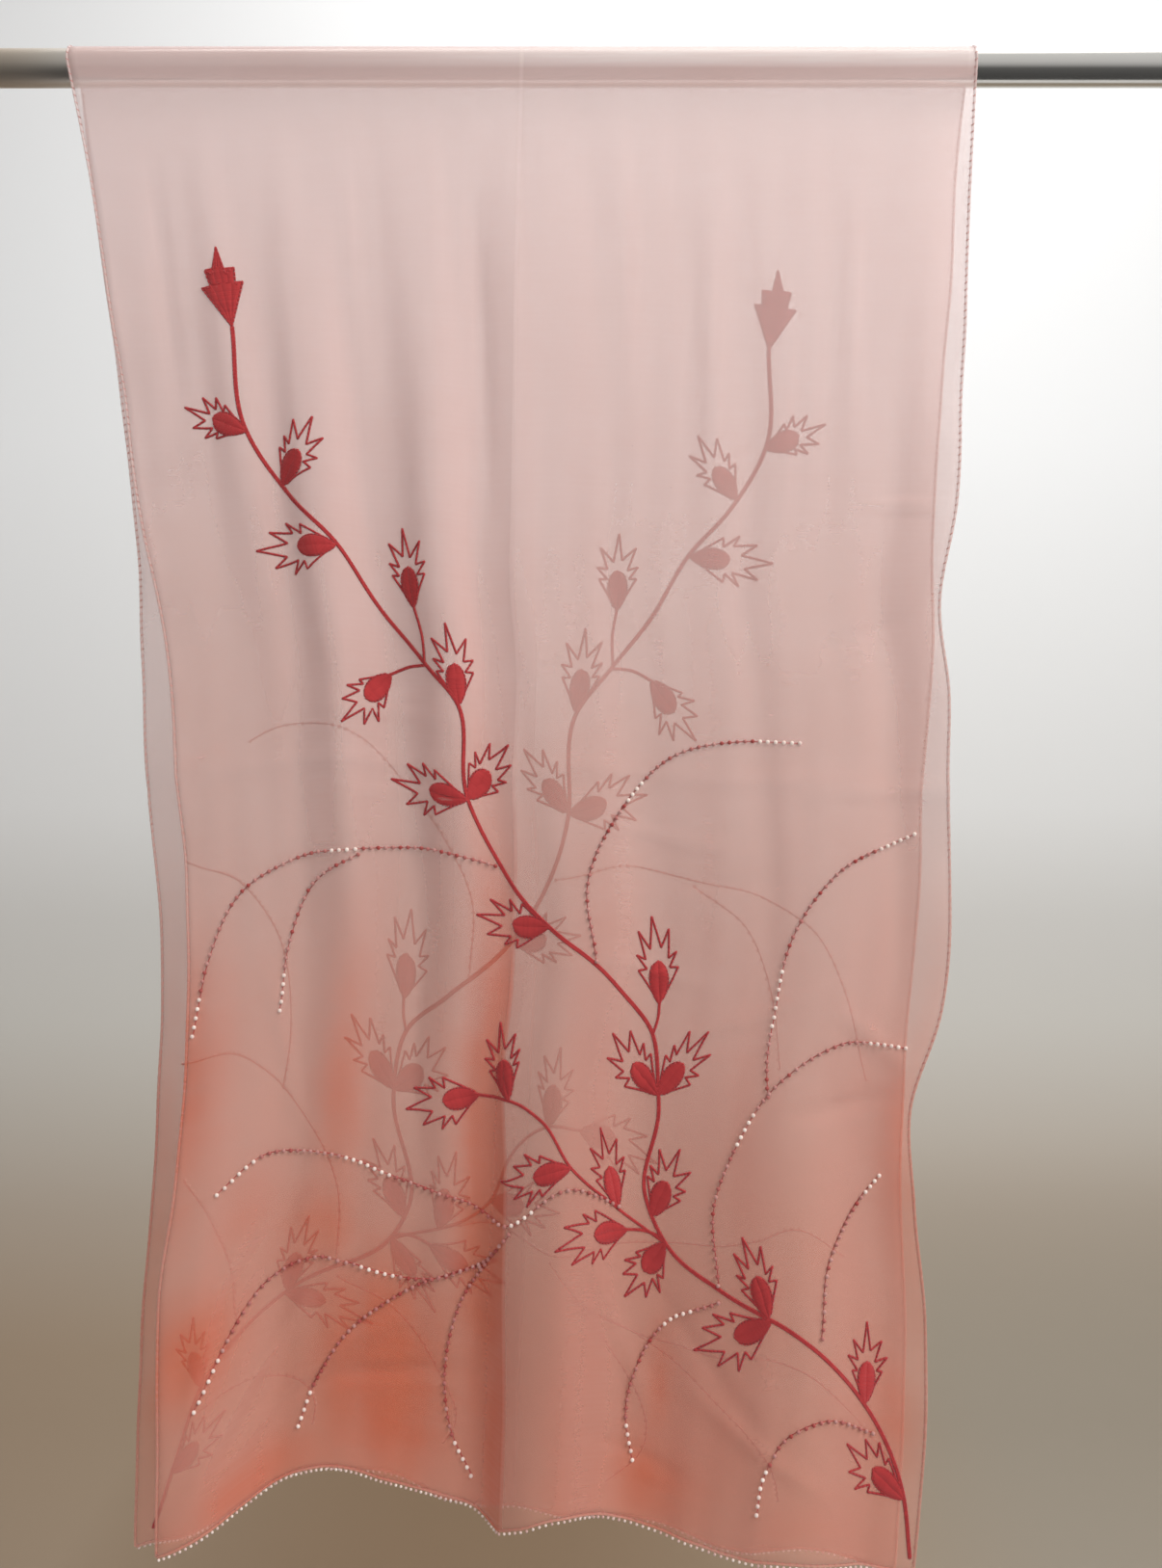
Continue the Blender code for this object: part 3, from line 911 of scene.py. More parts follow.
@dataclass(frozen=True)
class Chiffon:
    """Sheer crinkled chiffon, pale pink by the rail and coral towards both ends, with dye blotches."""

    length: float
    opacity: float = 0.37
    hem_opacity: float = 0.50
    dense: bool = False
    crease_highlight_half: float = 0.0018
    glint_past: float = 0.004
    glint_half: float = 0.011
    slubs: tuple[float, float, float] = (26.0, 430.0, 1.0)
    pale: Colour = colour(0.94, 0.80, 0.76)
    deep: Colour = colour(0.700, 0.150, 0.068)
    # painted shade: the darker colour that cloth leaning on the side of a fold is mixed toward
    leaning_shade: Colour = colour(0.58, 0.24, 0.20)
    painted_glint: Colour = colour(1.0, 0.97, 0.95)
    sheen: Colour = colour(1.0, 0.90, 0.88)

    def material(self) -> bpy.types.Material:
        """Builds the cloth's material.

        Returns:
            A material that reads the cloth's own map, in shares of its length, and its fade, dye and
            tilt; where the cloth leans on the sides of folds, the tilt makes it denser and paints shade
            on it.
            Fine slubs across it stand for the weave, a thin pale, denser line for the middle crease,
            partly a painted highlight on its pressed ridge, and a paler, denser strip along the crown, a
            painted glint, for the cloth that catches the light there.
        """
        book = Nodes("chiffon_hem" if self.dense else "chiffon")
        place = book.add("ShaderNodeUVMap", {"uv_map": "cloth"})
        metres = book.stretched(place, (self.length, self.length, 1.0))
        fade, dye, tilt = (
            book.add("ShaderNodeAttribute", {"attribute_name": name}, {}, "Fac")
            for name in ("fade", "dye", "tilt")
        )
        tone = book.add("ShaderNodeValToRGB", {"stops": [
            (0.00, (0.845, 0.655, 0.625)),
            (0.30, (0.770, 0.545, 0.500)),
            (0.52, (0.705, 0.435, 0.375)),
            (0.72, (0.690, 0.365, 0.295)),
            (1.00, (0.690, 0.310, 0.232)),
        ]}, {0: fade}, "Color")
        tinted = book.mix(dye * 0.88, tone, self.deep)
        slub = book.noise(book.stretched(metres, self.slubs), 1.0, 0.0, 0.5, True)
        if self.dense:
            return book.finish(
                Base_Color=book.mix((slub - 0.3) * 0.2, tinted, self.pale), Alpha=self.hem_opacity,
                Roughness=0.6, Sheen_Weight=0.3, Sheen_Roughness=0.35, Specular_IOR_Level=0.0,
            )
        across, run, _ = book.split(metres)
        # Painted highlight on the middle crease's pressed ridge: a thin band mixed toward pale, where
        # the cloth is also a little denser
        off_line = (across - MIDDLE_CREASE) / self.crease_highlight_half
        crease = (1.0 - off_line * off_line).most(0.0)
        # Painted shade: cloth that leans on the sides of folds is mixed toward a darker colour
        shade = book.mix(tilt * 0.24, tinted, self.leaning_shade)
        toned = book.mix((slub - 0.30) * 0.05 + crease * 0.08, shade, self.pale)
        # Painted glint: a band along the front of the crown is mixed toward near white and made denser,
        # for the light the cloth catches over the rail
        over = (run - (FRONT.drop + self.glint_past)) / self.glint_half
        glint = (1.0 - over * over).most(0.0) * across.between(0.10, 0.42)
        toned = book.mix(glint * (0.35 + slub * 0.25), toned, self.painted_glint)
        opacity = self.opacity - 0.012 + tilt * 0.13 + dye * 0.06 + crease * 0.05 + glint * 0.14
        return book.finish(
            Base_Color=toned, Alpha=opacity, Roughness=0.56, Sheen_Weight=0.40, Sheen_Roughness=0.35,
            Sheen_Tint=self.sheen, Specular_IOR_Level=0.0,
        )


@dataclass(frozen=True)
class Thread:
    """Crimson embroidery thread with a soft gloss, a little darker and lighter from stitch to stitch."""

    name: str = "crimson_thread"
    dark: Colour = colour(0.33, 0.024, 0.029)
    bright: Colour = colour(0.61, 0.058, 0.056)

    def material(self) -> bpy.types.Material:
        """Builds the thread's material, which reads each stitch's tone."""
        book = Nodes(self.name)
        place = book.add("ShaderNodeTexCoord", {}, {}, "Object")
        tone = book.add("ShaderNodeAttribute", {"attribute_name": "tone"}, {}, "Fac")
        fibre = book.noise(place, 2600.0, 1.0, 0.6)
        worn = book.noise(place, 60.0, 1.0, 0.6)
        mixed = book.mix(tone * 0.7 + fibre * 0.2 + worn * 0.15, self.dark, self.bright)
        bumped = book.bump(fibre, 0.5, 0.0002)
        return book.finish(
            Base_Color=mixed, Roughness=fibre * 0.2 + 0.38, Normal=bumped,
            Sheen_Weight=0.25, Sheen_Roughness=0.4, Specular_IOR_Level=0.30,
        )


@dataclass(frozen=True)
class Pearl:
    """Small glass beads, from dark red-brown to pearly white, as each bead's tone says."""

    dark: Colour = colour(0.34, 0.040, 0.036)
    pearly: Colour = colour(0.95, 0.84, 0.76)
    swirled: Colour = colour(0.70, 0.30, 0.26)

    def material(self) -> bpy.types.Material:
        """Builds the beads' material."""
        book = Nodes("bead_glass")
        place = book.add("ShaderNodeTexCoord", {}, {}, "Object")
        tone = book.add("ShaderNodeAttribute", {"attribute_name": "tone"}, {}, "Fac")
        swirl = book.noise(place, 900.0, 2.0, 0.5)
        mixed = book.mix(tone, self.dark, self.pearly)
        shaded = book.mix((swirl - 0.3) * 0.15, mixed, self.swirled)
        return book.finish(
            Base_Color=shaded, Roughness=swirl * 0.12 + 0.24, Coat_Weight=0.12, Coat_Roughness=0.10,
            Specular_IOR_Level=0.4,
        )


@dataclass(frozen=True)
class Steel:
    """Polished stainless tube with fine lines round it and faint smears, duller towards its left end:
    rougher there, and painted a darker brown for a darker reflection.
    """

    grain: tuple[float, float, float] = (8.0, 1500.0, 1500.0)
    smears: tuple[float, float, float] = (9.0, 40.0, 40.0)
    # Towards the left end the steel grows rougher, and its colour is mixed toward a darker brown, a
    # painted darker reflection
    bright_from: float = -0.26
    dull_to: float = -0.37
    cool: Colour = colour(0.68, 0.67, 0.64)
    warm: Colour = colour(0.82, 0.79, 0.74)
    worn: Colour = colour(0.600, 0.520, 0.435)

    def material(self) -> bpy.types.Material:
        """Builds the rail's material."""
        book = Nodes("stainless")
        place = book.add("ShaderNodeTexCoord", {}, {}, "Object")
        drawn = book.noise(book.stretched(place, self.grain), 1.0, 3.0, 0.6)
        smear = book.noise(book.stretched(place, self.smears), 1.0, 3.0, 0.55)
        tint = book.mix(smear, self.cool, self.warm)
        # Painted reflection: towards the left end the colour is darkened toward brown for the darker
        # surroundings it reflects, and the steel is rougher
        rough_and_painted_reflection = 1.0 - book.split(place)[0].between(self.dull_to, self.bright_from)
        painted_reflection_tint = book.mix(rough_and_painted_reflection, tint, self.worn)
        bumped = book.bump(drawn, 0.12, 0.0001)
        return book.finish(
            Base_Color=painted_reflection_tint, Metallic=1.0, Normal=bumped,
            Roughness=drawn * 0.08 + smear * 0.08 + rough_and_painted_reflection * 0.46 + 0.10,
        )


@dataclass(frozen=True)
class Cloth:
    """The length of chiffon: one thin closed shell on the drape's grid."""

    drape: Drape

    def build(self) -> bpy.types.Object:
        """Makes the cloth.

        Returns:
            A closed shell: the grid moved out and in by half the cloth's thickness, and its rim.
        """
        grid, normal = self.drape.middle, self.drape.normal
        rows, columns = grid.shape[:2]
        count = rows * columns
        outer = (grid + normal * SHELL / 2).reshape(-1, 3)
        inner = (grid - normal * SHELL / 2).reshape(-1, 3)
        number = np.arange(count).reshape(rows, columns)
        quads = np.stack([number[:-1, :-1], number[:-1, 1:], number[1:, 1:], number[1:, :-1]], axis=-1)
        quads = quads.reshape(-1, 4)
        ring = np.concatenate([number[0, :-1], number[:-1, -1], number[-1, :0:-1], number[:0:-1, 0]])
        after = np.roll(ring, -1)
        rim = np.stack([after, ring, ring + count, after + count], axis=-1)
        faces = np.concatenate([quads, quads[:, ::-1] + count, rim]).tolist()
        finish = Chiffon(self.drape.length).material()
        made = new_piece("chiffon_length", np.concatenate([outer, inner]), faces, finish)
        across, run = np.meshgrid(self.drape.across, self.drape.run)
        places = np.stack([across, run], axis=-1).reshape(-1, 2) / self.drape.length
        set_uv(made, "cloth", np.concatenate([places, places]))
        # How far the cloth leans from facing straight along Y; the material paints shade on leaning
        # cloth and makes it denser
        hanging = np.abs(self.drape.middle[..., 2:]) > HANG_RADIUS
        leaning_shade = np.sqrt(np.clip(1 - normal[..., 1] ** 2, 0, 1))
        tilt = np.where(hanging[..., 0], leaning_shade, CROWN_TILT)
        for name, values in (
            ("tilt", tilt), ("fade", self.drape.fade(across, run)), ("dye", self.drape.dye(across, run)),
        ):
            set_number(made, name, np.concatenate([values.reshape(-1), values.reshape(-1)]))
        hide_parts("front_fall", "crown", "back_fall")
        return made


@dataclass
class Stitches:
    """Many small threads laid as one joined mesh, each a grain with two tips and two square rings."""

    starts: list[Array] = field(default_factory=list)
    ends: list[Array] = field(default_factory=list)
    ups: list[Array] = field(default_factory=list)
    widths: list[Array] = field(default_factory=list)
    tones: list[Array] = field(default_factory=list)

    def lay(self, start: Array, end: Array, up: Array, width: float, tone: Array) -> None:
        """Adds threads.

        Args:
            start: where each begins.
            end: where each ends.
            up: unit vectors away from the cloth.
            width: the threads' width.
            tone: how bright each is, from 0 to 1.
        """
        self.starts.append(start)
        self.ends.append(end)
        self.ups.append(up)
        self.widths.append(np.full(len(start), width))
        self.tones.append(np.broadcast_to(tone, (len(start),)))

    def build(self, name: str, slot: str, finish: bpy.types.Material) -> bpy.types.Object:
        """Makes the mesh.

        Args:
            name: the piece's name.
            slot: not used.
            finish: the thread's material.

        Returns:
            The piece: for each thread a tip, a ring of four points near it, one near the other end,
            and a tip, all as wide as the thread and about a third as high.
        """
        start, end, up = (np.concatenate(x) for x in (self.starts, self.ends, self.ups))
        width, tone = np.concatenate(self.widths), np.concatenate(self.tones)
        way = end - start
        side = unit(np.cross(up, way)) * width[:, None] / 2
        rise = up * width[:, None] * 0.36
        points = [start]
        for share in (0.15, 0.85):
            core = start + way * share
            points += [core + side, core + rise, core - side, core - rise * 0.25]
        points.append(end)
        vertices = np.stack(points, axis=1).reshape(-1, 3)
        first = np.arange(len(start))[:, None] * len(points)
        faces: list[list[int]] = []
        for i in range(4):
            j = (i + 1) % 4
            faces += (first + np.array([[0, 1 + j, 1 + i]])).tolist()
            faces += (first + np.array([[1 + i, 1 + j, 5 + j, 5 + i]])).tolist()
            faces += (first + np.array([[9, 5 + i, 5 + j]])).tolist()
        made = new_piece(name, vertices, faces, finish)
        set_number(made, "tone", np.repeat(tone, len(points)))
        return made


def even_path(points: Sequence[tuple[float, float]], step: float) -> tuple[Array, Array]:
    """Lays evenly spaced places on a smooth curve through a few points.

    Args:
        points: the curve's own points, across and along.
        step: the distance between the places.

    Returns:
        The places and the unit ways along the curve, which is a cubic between each two points, with
        the slope at a point taken from its neighbours.
    """
    knots = np.asarray(points, float)
    at = np.concatenate([[0.0], np.cumsum(np.hypot(*np.diff(knots, axis=0).T))])
    fine = np.linspace(0, at[-1], 40 * len(knots))
    curve = np.stack([smooth_through(at, knots[:, i], fine) for i in (0, 1)], axis=-1)
    long = np.concatenate([[0.0], np.cumsum(np.hypot(*np.diff(curve, axis=0).T))])
    count = max(2, int(round(long[-1] / step)) + 1)
    even = np.linspace(0, long[-1], count)
    made = np.stack([np.interp(even, long, curve[:, i]) for i in (0, 1)], axis=-1)
    return made, unit(np.gradient(made, axis=0))


def along_line(points: Array, step: float) -> tuple[Array, Array]:
    """Lays evenly spaced places on a line of straight runs, and keeps each run's own corners.

    Args:
        points: the line's corners.
        step: about the distance between places.

    Returns:
        The starts and the ends of short runs that cover the line.
    """
    starts, ends = [], []
    for a, b in zip(points[:-1], points[1:]):
        count = max(1, int(round(float(np.hypot(*(b - a))) / step)))
        t = np.linspace(0, 1, count + 1)[:, None]
        run = a + (b - a) * t
        starts.append(run[:-1])
        ends.append(run[1:])
    return np.concatenate(starts), np.concatenate(ends)


def quarter(ways: Array) -> Array:
    """Turns ways across and along a quarter round."""
    return np.stack([-ways[..., 1], ways[..., 0]], axis=-1)


class Leaf(NamedTuple):
    """A leaf of the spray: where its stalk leaves the stem, how it points, and its sizes.

    at is the distance along its stem, turn is where its stalk points, in degrees from straight up,
    clockwise, stalk is the stalk's length, long is the leaf's own length, and lean is how much further
    than its stalk the leaf itself is turned.
    """

    at: float
    turn: float
    stalk: float
    long: float
    lean: float = 0.0


class Cut(NamedTuple):
    """How a leaf's outline is cut: its spikes on each side of the middle one, the notches' reach as a
    share of the spikes', how widely they fan, how much less the spikes beside the middle one reach,
    and the power by which those further out lose more."""

    spikes: int
    notch: float
    spread: float
    less: float
    power: float


class LeafForm(Enum):
    """The forms of leaf on the spray: open ones with a filled heart, and the bud at its head."""

    OPEN = Cut(3, 0.54, 0.80, 0.15, 0.93)
    BUD = Cut(2, 0.60, 0.86, 0.20, 0.80)


@dataclass(frozen=True)
class Stem:
    """A stem of the spray: its own points, across and along, and its leaves."""

    points: tuple[tuple[float, float], ...]
    leaves: tuple[Leaf, ...]
    rows: int


STEMS = (
    Stem(
        points=(
            (0.088, 0.192), (0.088, 0.262), (0.116, 0.313), (0.152, 0.352), (0.184, 0.402),
            (0.212, 0.434), (0.236, 0.460), (0.241, 0.530), (0.270, 0.584), (0.312, 0.628),
            (0.360, 0.662), (0.402, 0.694), (0.415, 0.740), (0.403, 0.806), (0.424, 0.842),
            (0.462, 0.861), (0.508, 0.878), (0.556, 0.908), (0.592, 0.942), (0.616, 0.984),
            (0.627, 1.030),
        ),
        leaves=(
            Leaf(0.076, -66, 0.001, 0.050),
            Leaf(0.122, 33, 0.001, 0.056),
            Leaf(0.181, -92, 0.002, 0.065),
            Leaf(0.283, -3, 0.040, 0.057),
            Leaf(0.285, -104, 0.034, 0.056, -30),
            Leaf(0.322, -3, 0.001, 0.058),
            Leaf(0.389, -83, 0.001, 0.065),
            Leaf(0.389, 40, 0.001, 0.055),
            Leaf(0.498, -82, 0.001, 0.060),
            Leaf(0.622, -2, 0.022, 0.062, -10),
            Leaf(0.666, -54, 0.001, 0.060),
            Leaf(0.666, 33, 0.001, 0.057),
            Leaf(0.757, 24, 0.001, 0.057),
            Leaf(0.772, -90, 0.029, 0.067, -14),
            Leaf(0.776, -146, 0.001, 0.055),
            Leaf(0.868, -19, 0.001, 0.056),
            Leaf(0.870, -119, 0.001, 0.068),
            Leaf(0.967, 1, 0.001, 0.056),
            Leaf(1.038, -58, 0.001, 0.061),
        ),
        rows=3,
    ),
    Stem(
        points=(
            (0.420, 0.838), (0.380, 0.820), (0.336, 0.794), (0.310, 0.756), (0.280, 0.738),
            (0.248, 0.740),
        ),
        leaves=(
            Leaf(0.044, -18, 0.001, 0.058),
            Leaf(0.097, -94, 0.001, 0.061),
            Leaf(0.176, -18, 0.001, 0.055),
            Leaf(0.207, -109, 0.000, 0.067),
        ),
        rows=2,
    ),
)
BUD = Leaf(0.0, -6, 0.0, 0.058)


@dataclass(frozen=True)
class Spray:
    """The embroidered spray on one end of the cloth: stems, spiky leaves, filled hearts and a bud."""

    drape: Drape
    side: int
    stitch: float = 0.0033
    outline_width: float = 0.0017
    stem_width: float = 0.0013
    row_gap: float = 0.00085
    slant: float = 0.00025
    satin_width: float = 0.0016
    satin_gap: float = 0.0009
    satin_slant: float = 0.0007
    rim_width: float = 0.0012
    heart_half: float = 0.0074
    heart_dome: float = 0.60
    bud_width: float = 0.0015
    bud_gap: float = 0.0008
    bead_thread: float = 0.0005
    place_step: float = 0.001
    longest_bare_stalk: float = 0.015
    spike_turn: float = 30.0
    tip_reach: float = 0.68
    fan_centre: float = 0.32
    seed: int = 3

    def lift(self, design: Array, height: float, face: int) -> tuple[Array, Array]:
        """Reads the design's places on the cloth, moved out by a height over one of its faces."""
        points, normals = self.drape.end(self.side, design)
        return points + normals * face * (SHELL / 2 + height), normals * face

    def cut(self, leaf: Leaf, form: LeafForm) -> Array:
        """Draws a leaf's outline in its own places, with y towards its tip.

        Args:
            leaf: the leaf, whose own numbers make its spikes a little uneven.
            form: how it is cut.

        Returns:
            A closed line from the base round the leaf: spikes that fan from a centre a third of the
            way up, the middle one longest and the last ones shortest, with notches between them.
        """
        cut = form.value
        order = np.arange(-cut.spikes, cut.spikes + 0.25, 0.5)
        whole = np.isclose(order % 1, 0)
        uneven = 3.0 * np.sin(leaf.turn * 3 + order * 5)
        angle = np.radians(order * self.spike_turn + uneven) * cut.spread
        reach = self.tip_reach - cut.less * np.abs(order) ** cut.power
        reach = reach * np.where(whole, 1.0, cut.notch)
        reach = reach * (1 + 0.06 * np.sin(leaf.turn * 7 + order * 3.1) * (order != 0))
        fan = np.stack([reach * np.sin(angle), self.fan_centre + reach * np.cos(angle)], axis=-1)
        return np.concatenate([[[0, 0]], fan, [[0, 0]]]) * leaf.long

    @staticmethod
    def turned(local: Array, leaf: Leaf, base: Array) -> Array:
        """Turns a leaf's own places, y towards its tip, to the way it points, and moves them to base."""
        a = math.radians(leaf.turn + leaf.lean)
        across = local[..., 0] * math.cos(a) + local[..., 1] * math.sin(a)
        along = local[..., 0] * math.sin(a) - local[..., 1] * math.cos(a)
        return base + np.stack([across, along], axis=-1)

    def run_thread(self, bag: Stitches, starts: Array, ends: Array, width: float, tone: Array,
                   height: float = 0.0, parts: int = 1) -> None:
        """Lays threads from starts to ends, given on the design, on both faces of the cloth.

        Args:
            bag: where the threads go.
            starts: where they start.
            ends: where they end.
            width: their width.
            tone: how bright each is.
            height: how far they lie over the cloth.
            parts: how many straight runs each is laid in, so that it follows the cloth's folds.
        """
        for part in range(parts):
            low, high = max(part - 0.2, 0) / parts, min(part + 1.2, parts) / parts
            for face in (1, -1):
                start, up = self.lift(starts + (ends - starts) * low, height, face)
                end, _ = self.lift(starts + (ends - starts) * high, height, face)
                bag.lay(start, end, up, width, tone)

    def heart(self, bag: Stitches, leaf: Leaf, base: Array, rng: np.random.Generator) -> None:
        """Fills a leaf's heart, an oval with a narrow foot, with satin stitch from side to side.

        Args:
            bag: where the threads go.
            leaf: the leaf.
            base: where it grows from.
            rng: the source of the threads' small differences.
        """
        high = leaf.long * 0.25 + 0.0145
        t = np.linspace(0.03, 0.995, int(high / self.satin_gap))
        dome = np.sqrt(np.clip(1 - ((t - self.heart_dome) / (1 - self.heart_dome)) ** 2, 0, 1))
        foot = np.sin(t / self.heart_dome * math.pi / 2) ** 0.75
        half = self.heart_half * np.where(t > self.heart_dome, dome, foot) + 0.0003
        left = np.stack([-half * 1.04, t * high - self.satin_slant], axis=-1)
        right = np.stack([half * 1.04, t * high + self.satin_slant], axis=-1)
        left, right = (self.turned(local, leaf, base) for local in (left, right))
        tone = 0.30 + 0.26 * t + rng.uniform(-0.13, 0.13, len(t))
        self.run_thread(bag, left, right, self.satin_width, tone, 0.0002, 2)
        x, y = np.concatenate([-half, half[::-1]]), np.concatenate([t, t[::-1]]) * high
        rim = self.turned(np.stack([x, y], axis=-1)[::3], leaf, base)
        self.run_thread(bag, rim[:-1], rim[1:], self.rim_width, 0.14, 0.0003)

    def bud(self, bag: Stitches, rng: np.random.Generator) -> None:
        """Fills the bud at the spray's head with threads from side to side, and outlines it."""
        base = np.array(STEMS[0].points[0])
        line = self.cut(BUD, LeafForm.BUD)
        y = np.arange(0.0010, BUD.long * 0.985, self.bud_gap)
        sides = []
        for half_line in (line, line[::-1]):
            up = half_line[: len(line) // 2 + 1]
            sides.append(np.interp(y, np.maximum.accumulate(up[:, 1]), up[:, 0]))
        left, right = (self.turned(np.stack([x, y], axis=-1), BUD, base) for x in sides)
        tone = 0.42 + rng.uniform(-0.2, 0.2, len(y))
        self.run_thread(bag, left, right, self.bud_width, tone, 0.0002, 4)
        starts, ends = along_line(self.turned(line, BUD, base), self.stitch)
        self.run_thread(bag, starts, ends, self.stem_width, 0.25, 0.0004)

    def leaf(self, bag: Stitches, leaf: Leaf, root: Array, rng: np.random.Generator) -> None:
        """Lays a leaf's stalk, its outline and its heart.

        Args:
            bag: where the threads go.
            leaf: the leaf.
            root: where its stalk leaves the stem.
            rng: the source of the threads' small differences.
        """
        a = math.radians(leaf.turn)
        way = np.array([math.sin(a), -math.cos(a)])
        base = root + way * leaf.stalk
        if leaf.stalk > self.longest_bare_stalk:
            bend = root + way * leaf.stalk * 0.5 + quarter(way) * 0.06 * leaf.stalk
            self.stem_rows(bag, (tuple(root), tuple(bend), tuple(base)), 2, rng)
        starts, ends = along_line(self.turned(self.cut(leaf, LeafForm.OPEN), leaf, base), self.stitch)
        over = (ends - starts) * 0.18
        tone = 0.16 + rng.uniform(-0.14, 0.14, len(starts))
        self.run_thread(bag, starts - over, ends + over, self.outline_width, tone)
        self.heart(bag, leaf, base, rng)

    def stem_rows(self, bag: Stitches, points: tuple, rows: int, rng: np.random.Generator) -> None:
        """Lays rows of slanting stem stitches beside each other along a curve.

        Args:
            bag: where the threads go.
            points: the curve's own points.
            rows: how many rows.
            rng: the source of the threads' small differences.
        """
        places, ways = even_path(points, self.stitch * 0.8)
        sideways = quarter(ways)
        for row in range(rows):
            off = (row - (rows - 1) / 2) * self.row_gap
            start = places[:-1] + sideways[:-1] * (off - self.slant) - ways[:-1] * 0.0006
            end = places[1:] + sideways[1:] * (off + self.slant) + ways[1:] * 0.0010
            tone = 0.42 + rng.uniform(-0.3, 0.3, len(start)) - 0.12 * abs(row - (rows - 1) / 2)
            self.run_thread(bag, start, end, self.stem_width, tone, 0.0002)

    def build(self, finish: bpy.types.Material) -> bpy.types.Object:
        """Makes the whole spray, and the thread that the beads are sewn with, as one joined mesh."""
        bag = Stitches()
        rng = np.random.default_rng(self.seed)
        for stem in STEMS:
            self.stem_rows(bag, stem.points, stem.rows, rng)
            places, _ = even_path(stem.points, self.place_step)
            for leaf in stem.leaves:
                root = places[min(int(leaf.at / self.place_step), len(places) - 1)]
                self.leaf(bag, leaf, root, rng)
        self.bud(bag, rng)
        for tendril in TENDRILS:
            places, _ = even_path(tendril.points, Beads.pitch)
            self.run_thread(bag, places[:-1], places[1:], self.bead_thread, 0.15)
        name = "spray_front" if self.side < 0 else "spray_back"
        return bag.build(name, "embroidery", finish)


class Tendril(NamedTuple):
    """A curved string of beads: its points, and the shares of its length that are pearly."""

    points: tuple[tuple[float, float], ...]
    pearly: tuple[tuple[float, float], ...]


TENDRILS = (
    Tendril(((0.258, 0.574), (0.206, 0.568), (0.140, 0.574), (0.084, 0.578), (0.040, 0.598),
             (0.016, 0.638), (0.004, 0.690)), ((0.36, 0.44), (0.92, 1.0))),
    Tendril(((0.142, 0.578), (0.100, 0.600), (0.080, 0.640), (0.075, 0.686)), ((0.80, 1.0),)),
    Tendril(((0.340, 0.646), (0.332, 0.596), (0.370, 0.530), (0.412, 0.492), (0.466, 0.479),
             (0.512, 0.480)), ((0.44, 0.54), (0.88, 1.0))),
    Tendril(((0.506, 0.724), (0.496, 0.686), (0.500, 0.620), (0.536, 0.572), (0.604, 0.538)),
            ((0.20, 0.36), (0.86, 1.0))),
    Tendril(((0.462, 0.858), (0.460, 0.806), (0.484, 0.754), (0.516, 0.712), (0.556, 0.686),
             (0.612, 0.684)), ((0.38, 0.50), (0.88, 1.0))),
    Tendril(((0.542, 0.886), (0.550, 0.838), (0.574, 0.802), (0.604, 0.772)), ((0.82, 1.0),)),
    Tendril(((0.380, 0.818), (0.328, 0.808), (0.284, 0.826), (0.238, 0.820), (0.172, 0.812),
             (0.108, 0.798), (0.068, 0.790), (0.034, 0.806)), ((0.22, 0.28), (0.58, 0.70), (0.90, 1.0))),
    Tendril(((0.284, 0.832), (0.254, 0.862), (0.208, 0.884), (0.162, 0.886), (0.116, 0.880),
             (0.078, 0.890), (0.050, 0.916), (0.026, 0.950)), ((0.38, 0.48), (0.88, 1.0))),
    Tendril(((0.254, 0.864), (0.202, 0.890), (0.154, 0.930), (0.124, 0.970), (0.110, 1.006)),
            ((0.86, 1.0),)),
    Tendril(((0.266, 0.850), (0.236, 0.898), (0.224, 0.958), (0.232, 0.996), (0.248, 1.020)),
            ((0.84, 1.0),)),
    Tendril(((0.462, 0.870), (0.422, 0.892), (0.398, 0.928), (0.390, 0.966), (0.398, 0.998)),
            ((0.14, 0.32), (0.84, 1.0))),
    Tendril(((0.590, 0.950), (0.546, 0.942), (0.514, 0.958), (0.500, 0.986), (0.498, 1.008)),
            ((0.74, 1.0),)),
)


